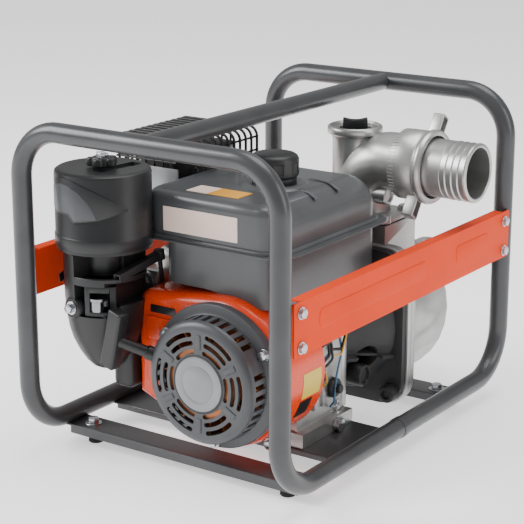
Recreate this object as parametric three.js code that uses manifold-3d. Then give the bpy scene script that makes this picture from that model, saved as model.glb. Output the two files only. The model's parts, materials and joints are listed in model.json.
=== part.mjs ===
// Frame-mounted water pump with a single-cylinder engine, 80 mm hose ports.
// Millimetres, +Z up. X runs across the frame, Y from the recoil starter to the pump.
import * as THREE from 'three';
import { mergeVertices } from 'three/addons/utils/BufferGeometryUtils.js';
import Module from 'manifold-3d';

const wasm = await Module();
wasm.setup();

// ---- Driving dimensions -------------------------------------------------------------------
const gap = 0.3;                 // clearance between pieces that touch

// Carry frame
const frameLength = 544;         // between hoop leg centrelines, along Y
const frameWidth = 380;          // between hoop leg centrelines, along X
const frameHeight = 422;         // top rail centreline above the floor
const tubeRadius = 12.7;
const tubeWall = 2;
const railHeight = 32;           // bottom rail centreline above the floor
const topBend = 60;              // centreline radius of the upper bends
const bottomBend = 65;           // centreline radius of the lower bends
const railJoint = 30;            // Y of the joint between the two hoops' rails
const channelWidth = 39;         // cross channel, along Y
const channelTop = 24;
const channelLip = 12;           // how far a channel's edges are turned down
const bedLip = 8;
const sheet = 2.5;               // channel and bed sheet
const footRadius = 10;
const frontChannelInset = 77.5;  // front hoop plane to the front channel's middle
const rearChannelY = 170;
const plateHeight = 64;          // side plate
const plateBottom = 201.5;
const plateSheet = 2;
const plateFold = 14;
const boltHead = 5.5;

// Engine
const crankX = 45;               // crank axis, which runs along Y
const crankZ = 129.5;
const caseRadius = 62;           // crankcase round the crank
const caseFront = -110;          // crankcase's recoil side
const caseBack = -6;             // crankcase's pump side
const baseWidth = 165;
const baseDepth = 117;
const baseSlab = 18.5;
const shaftRadius = 10;
const cylinderTilt = 65;         // degrees of the cylinder from upright, leaning to -X
const cylinderY = -55;
const bore = 34;                 // cylinder bore radius
const deckHeight = 62;           // crank axis to the cylinder's foot
const barrelLength = 60;
const headLength = 43;
const rockerLength = 30;
const finHalf = 36;
const finHalfY = 43;
const flywheelRadius = 72;
const shroudFront = -187;
const shroudBack = -100;
const shroudRadius = 95.5;
const shroudWall = 2.5;
const shroudLeft = -130;         // from the crank axis
const recoilRadius = 91;
const recoilDepth = 32;          // flange face to the cover's front
const recoilWallRadius = 78;

// Fuel tank, about its own centre
const tankWidth = 236;           // over the flange, along X
const tankLength = 262;          // over the flange, along Y
const tankX = 12;
const tankY = -45;
const tankSeam = 280;            // seam height above the floor
const tankDrop = 53;             // seam to the lower shell's bottom
const bellyDrop = 66;            // seam to the bottom of its deep right-hand part
const tankRise = 60;             // seam to the upper shell's top
const tankWall = 1.5;
const capRadius = 31;
const capHeight = 40;

// Air cleaner
const cleanerX = -118;
const cleanerY = -205;
const canisterRadius = 60;
const canisterBottom = 276;
const canisterHeight = 95;
const cleanerRadius = 50;        // body under the canister
const cleanerBottom = 112;

// Pump
const bracketBack = 90;
const flangeHalf = 104;          // half width of the square pump flange
const flangeThick = 8.7;
const casingRadius = 104;
const casingBack = 215.5;
const casingWall = 5;
const casingRaise = 3;           // casing centre above the crank axis
const impellerRadius = 72;
const portTop = 262;             // top of the casing's outlet port
const portY = 140;
const portHalfX = 60;
const portHalfY = 40;
const gasketThick = 2;
const portFlange = 6.5;
const portRadius = 39;           // outside of the outlet casting and hose spigots
const portBore = 33;
const outletHeight = 341;        // outlet axis above the floor
const elbowBend = 47;
const neckX = -13;               // filler neck from the crank axis
const neckRadius = 30;
const neckTop = 384;
const nutLength = 48;
const nutStart = 55;             // crank axis to the outlet nut
const spigotLength = 88;
const suctionRaise = 20;         // suction axis above the crank axis

// ---- Materials ----------------------------------------------------------------------------
const finish = (color, roughness, metalness) => (
  () => new THREE.MeshStandardMaterial({ color, roughness, metalness }));
const framePaint = finish(0x4c4e50, 0.4, 0.4);
const orangePaint = finish(0xe8622c, 0.35, 0.1);
const castAluminium = finish(0xb9bab8, 0.45, 0.8);
const steel = finish(0x9a9c9e, 0.35, 0.9);
const tankPaint = finish(0x55575a, 0.35, 0.3);
const blackPlastic = finish(0x202124, 0.5, 0);
const greyPlastic = finish(0x5a5c5f, 0.45, 0);
const rubber = finish(0x151515, 0.8, 0);
const copperPaint = finish(0x8a5a3c, 0.5, 0.5);
const darkCast = finish(0x3c3e40, 0.55, 0.5);

// ---- Solids -------------------------------------------------------------------------------
// A closed three.js geometry as a solid whose faces point out.
function solid(geometry) {
  const bare = geometry.clone();
  bare.deleteAttribute('normal');
  bare.deleteAttribute('uv');
  const merged = mergeVertices(bare, 1e-3);
  const at = merged.attributes.position.array;
  const corner = (i) => new THREE.Vector3(at[3 * i], at[3 * i + 1], at[3 * i + 2]);
  const triangles = [];
  let volume = 0;
  for (let i = 0; i < merged.index.count; i += 3) {
    const [a, b, c] = [0, 1, 2].map((k) => merged.index.getX(i + k));
    if (a === b || b === c || c === a) continue;
    triangles.push([a, b, c]);
    volume += corner(a).dot(corner(b).cross(corner(c)));
  }
  const facingOut = volume > 0 ? triangles : triangles.map(([a, b, c]) => [a, c, b]);
  const triVerts = new Uint32Array(facingOut.flat());
  return new wasm.Manifold(new wasm.Mesh({ numProp: 3, vertProperties: at, triVerts }));
}

function geometryOf(piece) {
  const mesh = piece.getMesh();
  const geometry = new THREE.BufferGeometry();
  geometry.setAttribute('position', new THREE.BufferAttribute(mesh.vertProperties, 3));
  geometry.setIndex(new THREE.BufferAttribute(mesh.triVerts, 1));
  geometry.computeVertexNormals();
  return geometry;
}

// Radius of a polygon hole whose flats clear a round of the given radius.
const around = (radius, sides) => radius / Math.cos(Math.PI / sides);
const join = (...pieces) => pieces.reduce((all, piece) => all.add(piece));
const cut = (piece, ...tools) => tools.reduce((rest, tool) => rest.subtract(tool), piece);
const radians = THREE.MathUtils.degToRad;

function box(x0, x1, y0, y1, z0, z1) {
  const block = new THREE.BoxGeometry(x1 - x0, y1 - y0, z1 - z0);
  return solid(block.translate((x0 + x1) / 2, (y0 + y1) / 2, (z0 + z1) / 2));
}

// Turns a geometry made along +Z to lie along another axis, then moves it.
function aimed(geometry, axis, [x, y, z]) {
  if (axis === 'y') geometry.rotateX(-Math.PI / 2);
  if (axis === '-y') geometry.rotateX(Math.PI / 2);
  if (axis === 'x') geometry.rotateY(Math.PI / 2);
  return geometry.translate(x, y, z);
}

function rod(radius, length, axis = 'z', at = [0, 0, 0], sides = 16) {
  const bar = new THREE.CylinderGeometry(radius, radius, length, sides);
  return solid(aimed(bar.rotateX(Math.PI / 2).translate(0, 0, length / 2), axis, at));
}

// A turned piece from [radius, height] pairs, along +Z before it is aimed.
function turned(profile, axis = 'z', at = [0, 0, 0], sides = 20) {
  const onAxis = profile[0][0] === 0 && profile.at(-1)[0] === 0;
  const outline = onAxis ? profile : [...profile, profile[0]];
  const points = outline.map(([radius, height]) => new THREE.Vector2(radius, height));
  return solid(aimed(new THREE.LatheGeometry(points, sides).rotateX(Math.PI / 2), axis, at));
}

const ring = (outer, inner, length, axis, at, sides) => (
  turned([[inner, 0], [outer, 0], [outer, length], [inner, length]], axis, at, sides));

function roundedRectangle(halfX, halfY, radius) {
  const shape = new THREE.Shape();
  const [x, y] = [halfX - radius, halfY - radius];
  shape.absarc(x, y, radius, 0, Math.PI / 2);
  shape.absarc(-x, y, radius, Math.PI / 2, Math.PI);
  shape.absarc(-x, -y, radius, Math.PI, 1.5 * Math.PI);
  shape.absarc(x, -y, radius, 1.5 * Math.PI, 2 * Math.PI);
  return shape;
}

// A flat shape given thickness along +Z, then aimed. Aimed along y, shape Y becomes -Z.
function slab(shape, depth, axis = 'z', at = [0, 0, 0], curveSegments = 3) {
  const plain = { depth, bevelEnabled: false, curveSegments };
  return solid(aimed(new THREE.ExtrudeGeometry(shape, plain), axis, at));
}

// A slab whose top edge is rounded over by the given radius.
function pillow(shape, height, edge, segments = 3) {
  const soft = { depth: height, bevelThickness: edge, bevelSize: edge, bevelOffset: -edge,
    bevelSegments: segments, curveSegments: 2 };
  return solid(new THREE.ExtrudeGeometry(shape, soft));
}

// A path through corner points with a bend at each one, sampled only where it turns.
class BentPath extends THREE.Curve {
  constructor(corners, bends, bendSteps) {
    super();
    this.stations = [];
    const add = (point, tangent) => this.stations.push({ point, tangent: tangent.clone() });
    const heading = (i) => corners[i + 1].clone().sub(corners[i]).normalize();
    add(corners[0], heading(0));
    for (let i = 1; i < corners.length - 1; i += 1) {
      const [before, after] = [heading(i - 1), heading(i)];
      const turn = before.angleTo(after);
      const bendRadius = bends[(i - 1) % bends.length];
      const start = corners[i].clone().addScaledVector(before, -bendRadius * Math.tan(turn / 2));
      const inward = after.clone().addScaledVector(before, -after.dot(before)).normalize();
      const centre = start.clone().addScaledVector(inward, bendRadius);
      for (let step = 0; step <= bendSteps; step += 1) {
        const angle = (turn * step) / bendSteps;
        const out = inward.clone().multiplyScalar(-Math.cos(angle));
        out.addScaledVector(before, Math.sin(angle));
        const tangent = before.clone().multiplyScalar(Math.cos(angle));
        tangent.addScaledVector(inward, Math.sin(angle));
        add(centre.clone().addScaledVector(out, bendRadius), tangent);
      }
    }
    add(corners.at(-1), heading(corners.length - 2));
    this.steps = this.stations.length - 1;
  }

  station(t) {
    return this.stations[Math.round(t * this.steps)];
  }

  getPoint(t) {
    return this.station(t).point.clone();
  }

  getTangent(t) {
    return this.station(t).tangent.clone();
  }

  getUtoTmapping(u) {
    return u;
  }
}

const at = (x, y, z) => new THREE.Vector3(x, y, z);

// A bar or tube of round section along a bent path, with one bend radius for each corner.
function bentTube(corners, bends, radius, { hole = 0, sides = 12, bendSteps = 6 } = {}) {
  const section = new THREE.Shape().absarc(0, 0, radius, 0, 2 * Math.PI);
  if (hole > 0) {
    section.holes.push(new THREE.Path().absarc(0, 0, hole, 0, 2 * Math.PI, true));
  }
  const path = new BentPath(corners, bends, bendSteps);
  const along = { steps: path.steps, extrudePath: path, curveSegments: sides / 2 };
  return solid(new THREE.ExtrudeGeometry(section, along));
}

// ---- Scene --------------------------------------------------------------------------------
const pump = new THREE.Group();
const frame = new THREE.Group();
const engine = new THREE.Group();
const wetEnd = new THREE.Group();
engine.position.set(crankX, 0, crankZ);
wetEnd.position.set(crankX, 0, crankZ);
pump.add(frame, engine, wetEnd);

function place(group, name, piece, material, position = [0, 0, 0], rotation = [0, 0, 0]) {
  const mesh = new THREE.Mesh(geometryOf(piece), material());
  mesh.name = name;
  mesh.position.set(...position);
  mesh.rotation.set(...rotation);
  group.add(mesh);
  return mesh;
}

// ---- Carry frame --------------------------------------------------------------------------
const halfWidth = frameWidth / 2;
const halfLength = frameLength / 2;

// One hoop: two bottom rails, two legs and the top rail, bent from a single tube.
function hoop(side, radius, hole) {
  const [end, leg] = [railJoint + (side * gap) / 2, side * halfLength];
  const corner = (x, y, z) => at(x * halfWidth, y, z);
  const corners = [
    corner(1, end, railHeight), corner(1, leg, railHeight), corner(1, leg, frameHeight),
    corner(-1, leg, frameHeight), corner(-1, leg, railHeight), corner(-1, end, railHeight),
  ];
  const bends = [bottomBend, topBend, topBend, bottomBend];
  return bentTube(corners, bends, radius, { hole, sides: 12, bendSteps: 4 });
}

place(frame, 'front_hoop', hoop(-1, tubeRadius, tubeRadius - tubeWall), framePaint);
place(frame, 'rear_hoop', hoop(1, tubeRadius, tubeRadius - tubeWall), framePaint);
const hoopRoom = join(hoop(-1, tubeRadius + gap), hoop(1, tubeRadius + gap));

const barSpan = frameLength - 2 * gap;
const topBar = ring(tubeRadius - 1, tubeRadius - 1 - tubeWall, barSpan, 'y',
  [0, gap - halfLength, frameHeight], 16);
place(frame, 'top_bar', cut(topBar, hoopRoom), framePaint);

// A cross channel: a sheet fitted to the rails at its ends, with both long edges turned down.
function crossChannel(middleY, width, lip) {
  const [y0, y1] = [middleY - width / 2, middleY + width / 2];
  const lipReach = halfWidth - tubeRadius - 1;
  const deck = box(-halfWidth, halfWidth, y0, y1, channelTop - sheet, channelTop);
  const tray = box(-lipReach, lipReach, y0, y1, channelTop - lip, channelTop);
  const inside = box(-frameWidth, frameWidth, y0 + sheet, y1 - sheet, 0, channelTop - sheet);
  return cut(join(deck, cut(tray, inside)), hoopRoom);
}

const channelRows = {
  front: frontChannelInset - halfLength,
  rear: rearChannelY,
};
for (const [row, y] of Object.entries(channelRows)) {
  place(frame, `${row}_cross_channel`, crossChannel(y, channelWidth, channelLip), framePaint);
}

const bedMiddle = (caseFront + caseBack) / 2;
place(frame, 'engine_bed', crossChannel(bedMiddle, baseDepth + 6, bedLip), framePaint);

for (const [row, y] of Object.entries(channelRows)) {
  for (const [hand, sign] of [['left', -1], ['right', 1]]) {
    const footTop = channelTop - sheet - gap;
    const foot = turned([[0, 0], [footRadius, 0], [footRadius - 2, footTop], [0, footTop]], 'z',
      [sign * (halfWidth - 40), y, 0], 20);
    place(frame, `foot_${row}_${hand}`, foot, rubber);
  }
}

// Side plates: a flat web over the legs with its top edge folded inwards.
const webFace = halfWidth + tubeRadius - 1.2;
for (const [hand, sign] of [['left', -1], ['right', 1]]) {
  const reach = halfLength - 8;
  const span = (x0, x1, y, z0, z1) => box(Math.min(sign * x0, sign * x1),
    Math.max(sign * x0, sign * x1), -y, y, z0, z1);
  const top = plateBottom + plateHeight;
  const web = span(webFace, webFace + plateSheet, reach, plateBottom, top);
  const fold = span(webFace - plateFold, webFace + 0.5, reach - 16, top - plateSheet, top);
  place(frame, `${hand}_side_plate`, cut(join(web, fold), hoopRoom), orangePaint);
}

// Hex bolts that hold the left plate, with their shanks in the mounting tabs.
const plateBolts = [['front', 'lower', -1, 10], ['front', 'upper', -1, 51],
  ['rear', 'lower', 1, 10], ['rear', 'upper', 1, 51]];
for (const [row, level, side, height] of plateBolts) {
  const face = -(webFace + plateSheet + gap);
  const headAt = [face - boltHead, side * (halfLength - 22), plateBottom + height];
  const head = rod(6, boltHead, 'x', headAt, 6);
  place(frame, `left_plate_bolt_${row}_${level}`, head, steel);
}

// ---- Crankcase ----------------------------------------------------------------------------
// From here to the wet end, X and Z are measured from the crank axis.
const bedTop = channelTop + gap - crankZ;
const baseTop = bedTop + baseSlab;
const tilt = radians(cylinderTilt);
const engineBlock = new THREE.Group();
engineBlock.rotation.y = -tilt;
engineBlock.position.y = cylinderY;
engine.add(engineBlock);
const deckTurn = (piece) => piece.rotate([0, -cylinderTilt, 0]).translate([0, cylinderY, 0]);

function caseOutline(inset, y0, y1, floor = baseTop - 1) {
  const drum = rod(caseRadius - inset, y1 - y0, 'y', [0, y0, 0], 28);
  const sump = box(inset - caseRadius, caseRadius - inset, y0, y1, floor, 0);
  return join(drum, sump);
}

const slabPiece = box(-baseWidth / 2, baseWidth / 2 - 8, bedMiddle - baseDepth / 2,
  bedMiddle + baseDepth / 2, bedTop, baseTop);
const slabRoom = box(-baseWidth / 2 - 1, baseWidth / 2 - 7, bedMiddle - baseDepth / 2 - 1,
  bedMiddle + baseDepth / 2, bedTop - 1, baseTop + 1);
const deck = deckTurn(box(-finHalf, finHalf, -finHalfY, finHalfY, 0, deckHeight));
const caseCavity = caseOutline(8, caseFront + 8, caseBack + 1);
const crankBore = rod(around(shaftRadius + gap, 16), frameLength, 'y', [0, -halfLength, 0]);
const cylinderOpening = deckTurn(rod(bore + 4, deckHeight + 10));
const fillerSeat = rod(around(10.5 + gap, 16), 40, 'x', [30, -28, -52], 16);
const drainSeat = rod(around(6 + gap, 12), 40, 'x', [50, -38, bedTop + 9], 12);
const crankcase = cut(join(slabPiece, caseOutline(0, caseFront, caseBack), deck),
  caseCavity, crankBore, cylinderOpening, fillerSeat, drainSeat);
place(engine, 'crankcase', crankcase, castAluminium);

const coverFront = caseBack + gap;
const coverBack = 5;
const cover = cut(caseOutline(0, coverFront, coverBack, baseTop + gap), crankBore);
place(engine, 'crankcase_cover', cover, castAluminium);

const fillerCap = turned([[0, 0], [10.5, 0], [10.5, 14], [16, 14.3], [16, 24], [12, 27], [0, 27]],
  'x', [caseRadius - 14 + gap, -28, -52], 16);
place(engine, 'oil_filler_cap', fillerCap, blackPlastic);
const drainBolt = join(rod(6, 22, 'x', [54, -38, bedTop + 9], 12),
  rod(9, 8, 'x', [baseWidth / 2 - 7.7, -38, bedTop + 9], 6));
place(engine, 'oil_drain_bolt', drainBolt, steel);

// ---- Cylinder, head and rocker cover, along the tilted cylinder axis ----------------------
const barrelFoot = deckHeight + gap;
const barrelTop = barrelFoot + barrelLength;
const headFoot = barrelTop + gap;
const headTop = headFoot + headLength;

function finned(length, from, coreRadius) {
  const core = rod(coreRadius, length, 'z', [0, 0, from], 28);
  const pitch = 12;
  const fins = [];
  for (let z = from; z < from + length - 3; z += pitch) {
    fins.push(box(-finHalf, finHalf, -finHalfY, finHalfY, z, z + 3));
  }
  return join(core, ...fins);
}

const barrelBore = rod(bore, barrelLength + 2, 'z', [0, 0, barrelFoot - 1], 28);
place(engineBlock, 'cylinder', cut(finned(barrelLength, barrelFoot, bore + 6), barrelBore),
  castAluminium);
const plugSeat = rod(around(6 + gap, 12), 40, 'x', [-finHalf - 4, 0, headFoot + 24], 12);
const chamber = rod(bore - 2, 10, 'z', [0, 0, headFoot - 1], 20);
const head = cut(finned(headLength, headFoot, finHalf - 2), chamber, plugSeat);
place(engineBlock, 'cylinder_head', head, castAluminium);
const rockerOutside = roundedRectangle(finHalf, finHalfY - 4, 10);
const rockerInside = roundedRectangle(finHalf - 3, finHalfY - 7, 8);
const rockerShell = cut(slab(rockerOutside, rockerLength), slab(rockerInside, rockerLength - 3)
  .translate([0, 0, -1]));
place(engineBlock, 'rocker_cover', rockerShell, castAluminium, [0, 0, headTop + gap]);
const stroke = 54;
const pistonHeight = 30;
const piston = cut(rod(bore - gap, pistonHeight, 'z', [0, 0, 0], 28),
  rod(bore - 6, pistonHeight - 7, 'z', [0, 0, -1], 16));
place(engineBlock, 'piston', piston, castAluminium,
  [0, 0, barrelTop - stroke / 2 - pistonHeight]);

const plugAt = -finHalf - gap;
const plugBody = join(rod(6, 14, 'x', [plugAt - 1, 0, headFoot + 24], 12),
  rod(9, 8, 'x', [plugAt - 8, 0, headFoot + 24], 6),
  rod(4.5, 20, 'x', [plugAt - 27, 0, headFoot + 24], 12));
place(engineBlock, 'spark_plug', plugBody, steel);

// ---- Crank train --------------------------------------------------------------------------
const flywheelFront = shroudFront + 8;
const impellerBack = 136;
const webRadius = 35;
const pinOffset = 22;
const shaft = join(
  rod(shaftRadius, impellerBack - flywheelFront + 10, 'y', [0, flywheelFront - 10, 0], 20),
  rod(webRadius, 12, 'y', [0, cylinderY - 26, 0]),
  rod(webRadius, 12, 'y', [0, cylinderY + 14, 0]),
  rod(12, 30, 'y', [0, cylinderY - 15, pinOffset], 16));
place(engine, 'crankshaft', shaft, steel);

const fan = [];
for (let i = 0; i < 12; i += 1) {
  const blade = box(-1.2, 1.2, flywheelFront, flywheelFront + 16, 40, flywheelRadius);
  fan.push(blade.rotate([0, (360 / 12) * i, 0]));
}
const wheel = rod(flywheelRadius, 24, 'y', [0, flywheelFront + 15, 0], 28);
const hub = rod(30, 39, 'y', [0, flywheelFront, 0]);
const flywheel = cut(join(wheel, hub, ...fan), crankBore);
place(engine, 'flywheel_fan', flywheel, copperPaint);

// ---- Fan shroud ---------------------------------------------------------------------------
// Its front outline: a circle round the crank joined to a straight left edge.
function shroudOutline(inset) {
  const left = shroudLeft + inset;
  const [high, low] = [76 - inset, -50 + inset];
  const radius = shroudRadius - inset;
  const tangent = (x, z, side) => (
    Math.atan2(z, x) + side * Math.acos(radius / Math.hypot(x, z)));
  const shape = new THREE.Shape();
  shape.moveTo(left, -low);
  shape.lineTo(left, -high);
  shape.lineTo(left + 10, -high - 10);
  const [from, to] = [-tangent(left + 10, high + 10, -1), -tangent(left, low, 1)];
  shape.absarc(0, 0, radius, from, to, false);
  shape.closePath();
  return shape;
}

const shroudSolid = (inset, y0, y1) => (
  slab(shroudOutline(inset), y1 - y0, 'y', [0, y0, 0], 18));

const shroudHollow = shroudSolid(shroudWall, shroudFront + shroudWall, shroudBack + 1);
const fanMouth = rod(flywheelRadius + 5, 20, 'y', [0, shroudFront - 10, 0], 28);
const caseRoom = join(caseOutline(-1, caseFront - 1, caseBack), slabRoom,
  deckTurn(box(-finHalf - 1, finHalf + 1, -finHalfY - 1, finHalfY + 1, 0, 200)));
const shroud = cut(shroudSolid(0, shroudFront, shroudBack), shroudHollow, fanMouth, caseRoom);
place(engine, 'fan_shroud', shroud, orangePaint);

// ---- Recoil starter -----------------------------------------------------------------------
const recoilBack = shroudFront - gap;
const flangeDepth = 12;
const wallBack = recoilBack - flangeDepth;
const coverShell = turned([
  [0, 0], [recoilWallRadius - 6, 0], [recoilWallRadius, 6], [recoilWallRadius, recoilDepth],
  [recoilRadius, recoilDepth], [recoilRadius, recoilDepth + flangeDepth],
  [recoilWallRadius - 3, recoilDepth + flangeDepth], [recoilWallRadius - 3, 7],
  [recoilWallRadius - 7, 3], [0, 3]], 'y', [0, wallBack - recoilDepth, 0], 32);
const faceY = wallBack - recoilDepth;

// Three rows of arc slots in six groups round the badge.
function arcSlot(inner, outer, middle, spread) {
  const shape = new THREE.Shape();
  const half = radians(spread / 2);
  shape.absarc(0, 0, outer, middle - half, middle + half, false);
  shape.absarc(0, 0, inner, middle + half, middle - half, true);
  return slab(shape, 8, 'y', [0, faceY - 2, 0], 1);
}

const slots = [];
for (let group = 0; group < 6; group += 1) {
  const middle = radians(60 * group + 30);
  [[38, 43, 34], [48, 53, 40], [58, 63, 42]].forEach(([inner, outer, spread]) => {
    slots.push(arcSlot(inner, outer, middle, spread));
  });
}
const sideSlots = [];
for (let i = 0; i < 18; i += 1) {
  const turn = 360 / 18;
  const slot = box(-2.6, 2.6, faceY + 10, faceY + 26, recoilWallRadius - 8, recoilWallRadius + 4);
  if (i !== 13) sideSlots.push(slot.rotate([0, turn * i + 8, 0]));
}
const ropeExit = [-76, -218, 18.5];
const ropeHeading = at(-0.766, -0.532, 0.383).normalize();
const ropeAt = (distance) => at(...ropeExit).addScaledVector(ropeHeading, distance);
const ropeHole = bentTube([ropeAt(-14), ropeAt(60)], [1], 7.5);
place(engine, 'recoil_cover', cut(coverShell, ...slots, ...sideSlots, ropeHole), greyPlastic);

const reel = turned([[0, 0], [48, 0], [48, 4], [35, 4], [35, 14], [48, 14], [48, 18], [0, 18]],
  'y', [0, faceY + 4, 0], 32);
place(engine, 'recoil_reel', reel, blackPlastic);

// T-grip with its rope sleeve, resting against the rope exit.
const sleeve = bentTube([ropeAt(-6), ropeAt(44)], [1], 6.5);
const grip = pillow(roundedRectangle(9, 39, 5), 14, 4, 3).translate([0, 0, -7]);
const gripTurned = grip.rotate([90, 0, 0]).rotate([0, 14, 0]).rotate([0, 0, -8]);
const gripCentre = ropeAt(52);
const handle = join(sleeve, gripTurned.translate(gripCentre.toArray()));
place(engine, 'recoil_handle', handle, blackPlastic);

// ---- Fuel tank ----------------------------------------------------------------------------
const tank = new THREE.Group();
tank.position.set(tankX, tankY, tankSeam);
pump.add(tank);
const seamHalf = [tankWidth / 2, tankLength / 2];
const tankRim = roundedRectangle(...seamHalf, 40);
const rimSheet = 2;
const upperHalf = [seamHalf[0] - 14, seamHalf[1] - 8];
const lowerLeft = -72;           // lower shell's left and right faces from the tank's centre
const lowerRight = 98;
const bellyLeft = 75;

// A rounded block that reaches the same height above and below the seam.
function roundedBlock(left, right, front, back, corner, height, edge) {
  const shape = roundedRectangle((right - left) / 2, (back - front) / 2, corner);
  return pillow(shape, 2 * (height - edge), edge)
    .translate([(left + right) / 2, (front + back) / 2, edge - height]);
}

// The upper shell is sharp along its front and left edges and well rounded at its back and right.
function upperShape(inset) {
  const [x, y] = [upperHalf[0] - inset, upperHalf[1] - inset];
  const slack = 60;
  const crisp = roundedBlock(-x, x, -y, y, 34 - inset, tankRise - inset, 13 - inset);
  const soft = roundedBlock(-x - slack, x, -y - slack, y, 40 - inset, tankRise - inset, 38 - inset);
  return crisp.intersect(soft);
}

function lowerShape(inset) {
  const y = upperHalf[1] - inset;
  const [left, right] = [lowerLeft + inset, lowerRight - inset];
  const main = roundedBlock(left, right, -y, y, 28 - inset, tankDrop - inset, 15 - inset);
  const belly = roundedBlock(bellyLeft + inset, right, -y, y, 9.5 - inset / 2,
    bellyDrop - inset, 7 - inset / 2);
  return join(main, belly);
}

const cleanerRoom = rod(around(canisterRadius + 3, 28), 200, 'z',
  [cleanerX - tankX, cleanerY - tankY, -100], 28);
const rimSlab = slab(tankRim, rimSheet);
const neckCentre = [34 - tankX, -55 - tankY];
const fillerNeck = ring(22, 20, 14, 'z', [...neckCentre, tankRise - 6], 24);
const neckHole = rod(20, 40, 'z', [...neckCentre, tankRise - 20], 24);
const above = box(-300, 300, -300, 300, 0, 200);
const below = box(-300, 300, -300, 300, -200, 0);
const upperSkin = cut(join(upperShape(0).intersect(above), rimSlab), upperShape(tankWall));
const upperShell = cut(join(upperSkin, fillerNeck), neckHole, cleanerRoom)
  .translate([0, 0, gap / 2]);
const lowerBody = join(lowerShape(0).intersect(below), rimSlab.translate([0, 0, -rimSheet]));
const lowerShell = cut(lowerBody, lowerShape(tankWall), cleanerRoom)
  .translate([0, 0, -gap / 2]);
place(tank, 'fuel_tank_upper', upperShell, tankPaint);
place(tank, 'fuel_tank_lower', lowerShell, tankPaint);

const capFoot = tankRise + gap;
const cap = turned([[22 + gap, 0], [28, 0], [28, 10], [capRadius, 12], [capRadius, capHeight - 6],
  [capRadius - 5, capHeight], [0, capHeight], [0, 12], [22 + gap, 12]], 'z', [0, 0, 0], 20);
place(tank, 'fuel_cap', cap, blackPlastic, [...neckCentre, capFoot]);

// ---- Air cleaner --------------------------------------------------------------------------
const cleaner = new THREE.Group();
cleaner.position.set(cleanerX, cleanerY, 0);
pump.add(cleaner);
const bodyTop = canisterBottom - gap;
const bowl = turned([[0, cleanerBottom], [20, cleanerBottom], [38, cleanerBottom + 18],
  [cleanerRadius, cleanerBottom + 54], [cleanerRadius, bodyTop - 8],
  [canisterRadius - 1, bodyTop - 8], [canisterRadius - 1, bodyTop], [0, bodyTop]], 'z',
[0, 0, 0], 32);
const shroudSide = crankX + shroudLeft - gap - cleanerX;
const duct = box(0, shroudSide, 12, 58, 84, 214);
const upperRecess = box(12, 80, -70, 70, 228, bodyTop - 10);
const recessBack = -16;
const lowerRecess = box(2, 40, -70, recessBack, 170, 222);
const airWay = rod(20, 60, 'z', [0, 0, bodyTop - 40], 20);
const shroudRoom = box(shroudSide, 90, shroudFront - gap - cleanerY, 90, 0, crankZ + 76 + 12);
const cleanerBody = cut(join(bowl, duct), upperRecess, lowerRecess, airWay, shroudRoom);
place(cleaner, 'air_cleaner_body', cleanerBody, blackPlastic);

const canisterSkin = 2.5;
const canister = turned([[canisterRadius - canisterSkin, 0], [canisterRadius + 1, 0],
  [canisterRadius + 1, 15], [canisterRadius, 17], [canisterRadius, canisterHeight - 6],
  [canisterRadius - 5, canisterHeight], [9, canisterHeight], [9, canisterHeight - canisterSkin],
  [canisterRadius - 6, canisterHeight - canisterSkin],
  [canisterRadius - canisterSkin, canisterHeight - 7]], 'z', [0, 0, canisterBottom], 24);
place(cleaner, 'air_cleaner_canister', canister, blackPlastic);
const element = ring(44, 26, canisterHeight - 20, 'z', [0, 0, canisterBottom + gap], 28);
place(cleaner, 'filter_element', element, finish(0xc9a54a, 0.9, 0));

const lobes = [];
for (let i = 0; i < 5; i += 1) {
  const angle = (2 * Math.PI * i) / 5;
  lobes.push(rod(7, 12, 'z', [13 * Math.cos(angle), 13 * Math.sin(angle), 0], 6));
}
const knob = join(rod(14, 14, 'z', [0, 0, 0], 20), rod(7, 26, 'z', [0, 0, -8], 16), ...lobes);
const lidTop = canisterBottom + canisterHeight;
place(cleaner, 'air_cleaner_knob', knob, blackPlastic, [0, 0, lidTop + gap]);

// ---- Carburettor and controls -------------------------------------------------------------
const carbX = -106;
const carbZ = 196;
const carbBack = cylinderY - finHalfY - 8;
const carbFront = cleanerY + cleanerRadius + 10;
const carbLength = carbBack - carbFront;
const carburettor = join(
  box(-18, 18, 6, carbLength - 6, -16, 18),
  rod(17, carbLength, 'y', [0, 0, 0]),
  rod(16, 26, 'z', [0, carbLength / 2, -40], 20));
const throat = rod(10, carbLength + 2, 'y', [0, -1, 0], 16);
place(pump, 'carburettor', cut(carburettor, throat), castAluminium, [carbX, carbFront, carbZ + 12]);

// Small levers in the air cleaner's recess: a pin from its back wall with an arm across.
function recessLever(hubRadius, reach, armWidth) {
  const pin = rod(hubRadius, 22, 'y', [0, 0, 0], 16);
  return join(pin, box(0, reach, 0, 4, -armWidth / 2, armWidth / 2));
}

const leverFront = recessBack - 22 - gap;
place(cleaner, 'choke_lever', recessLever(5, 18, 7), greyPlastic, [14, leverFront, 210]);
place(cleaner, 'fuel_valve_lever', recessLever(8, 17, 6), blackPlastic, [14, leverFront, 190]);

// Throttle: a folded-sheet arm that swings about an upright pin beside the tank.
const throttleReach = 84;
const channelArm = cut(box(-5, 5, -throttleReach, 0, -5, 5),
  box(-3.6, 3.6, -throttleReach - 1, -12, -6, 3.6));
const throttle = join(channelArm, rod(7, 12, 'z', [0, 0, -6], 16), rod(3, 33, 'z', [0, 0, -36], 12));
place(pump, 'throttle_lever', throttle, steel, [-74, -152, 254], [radians(8), 0, 0]);

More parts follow.
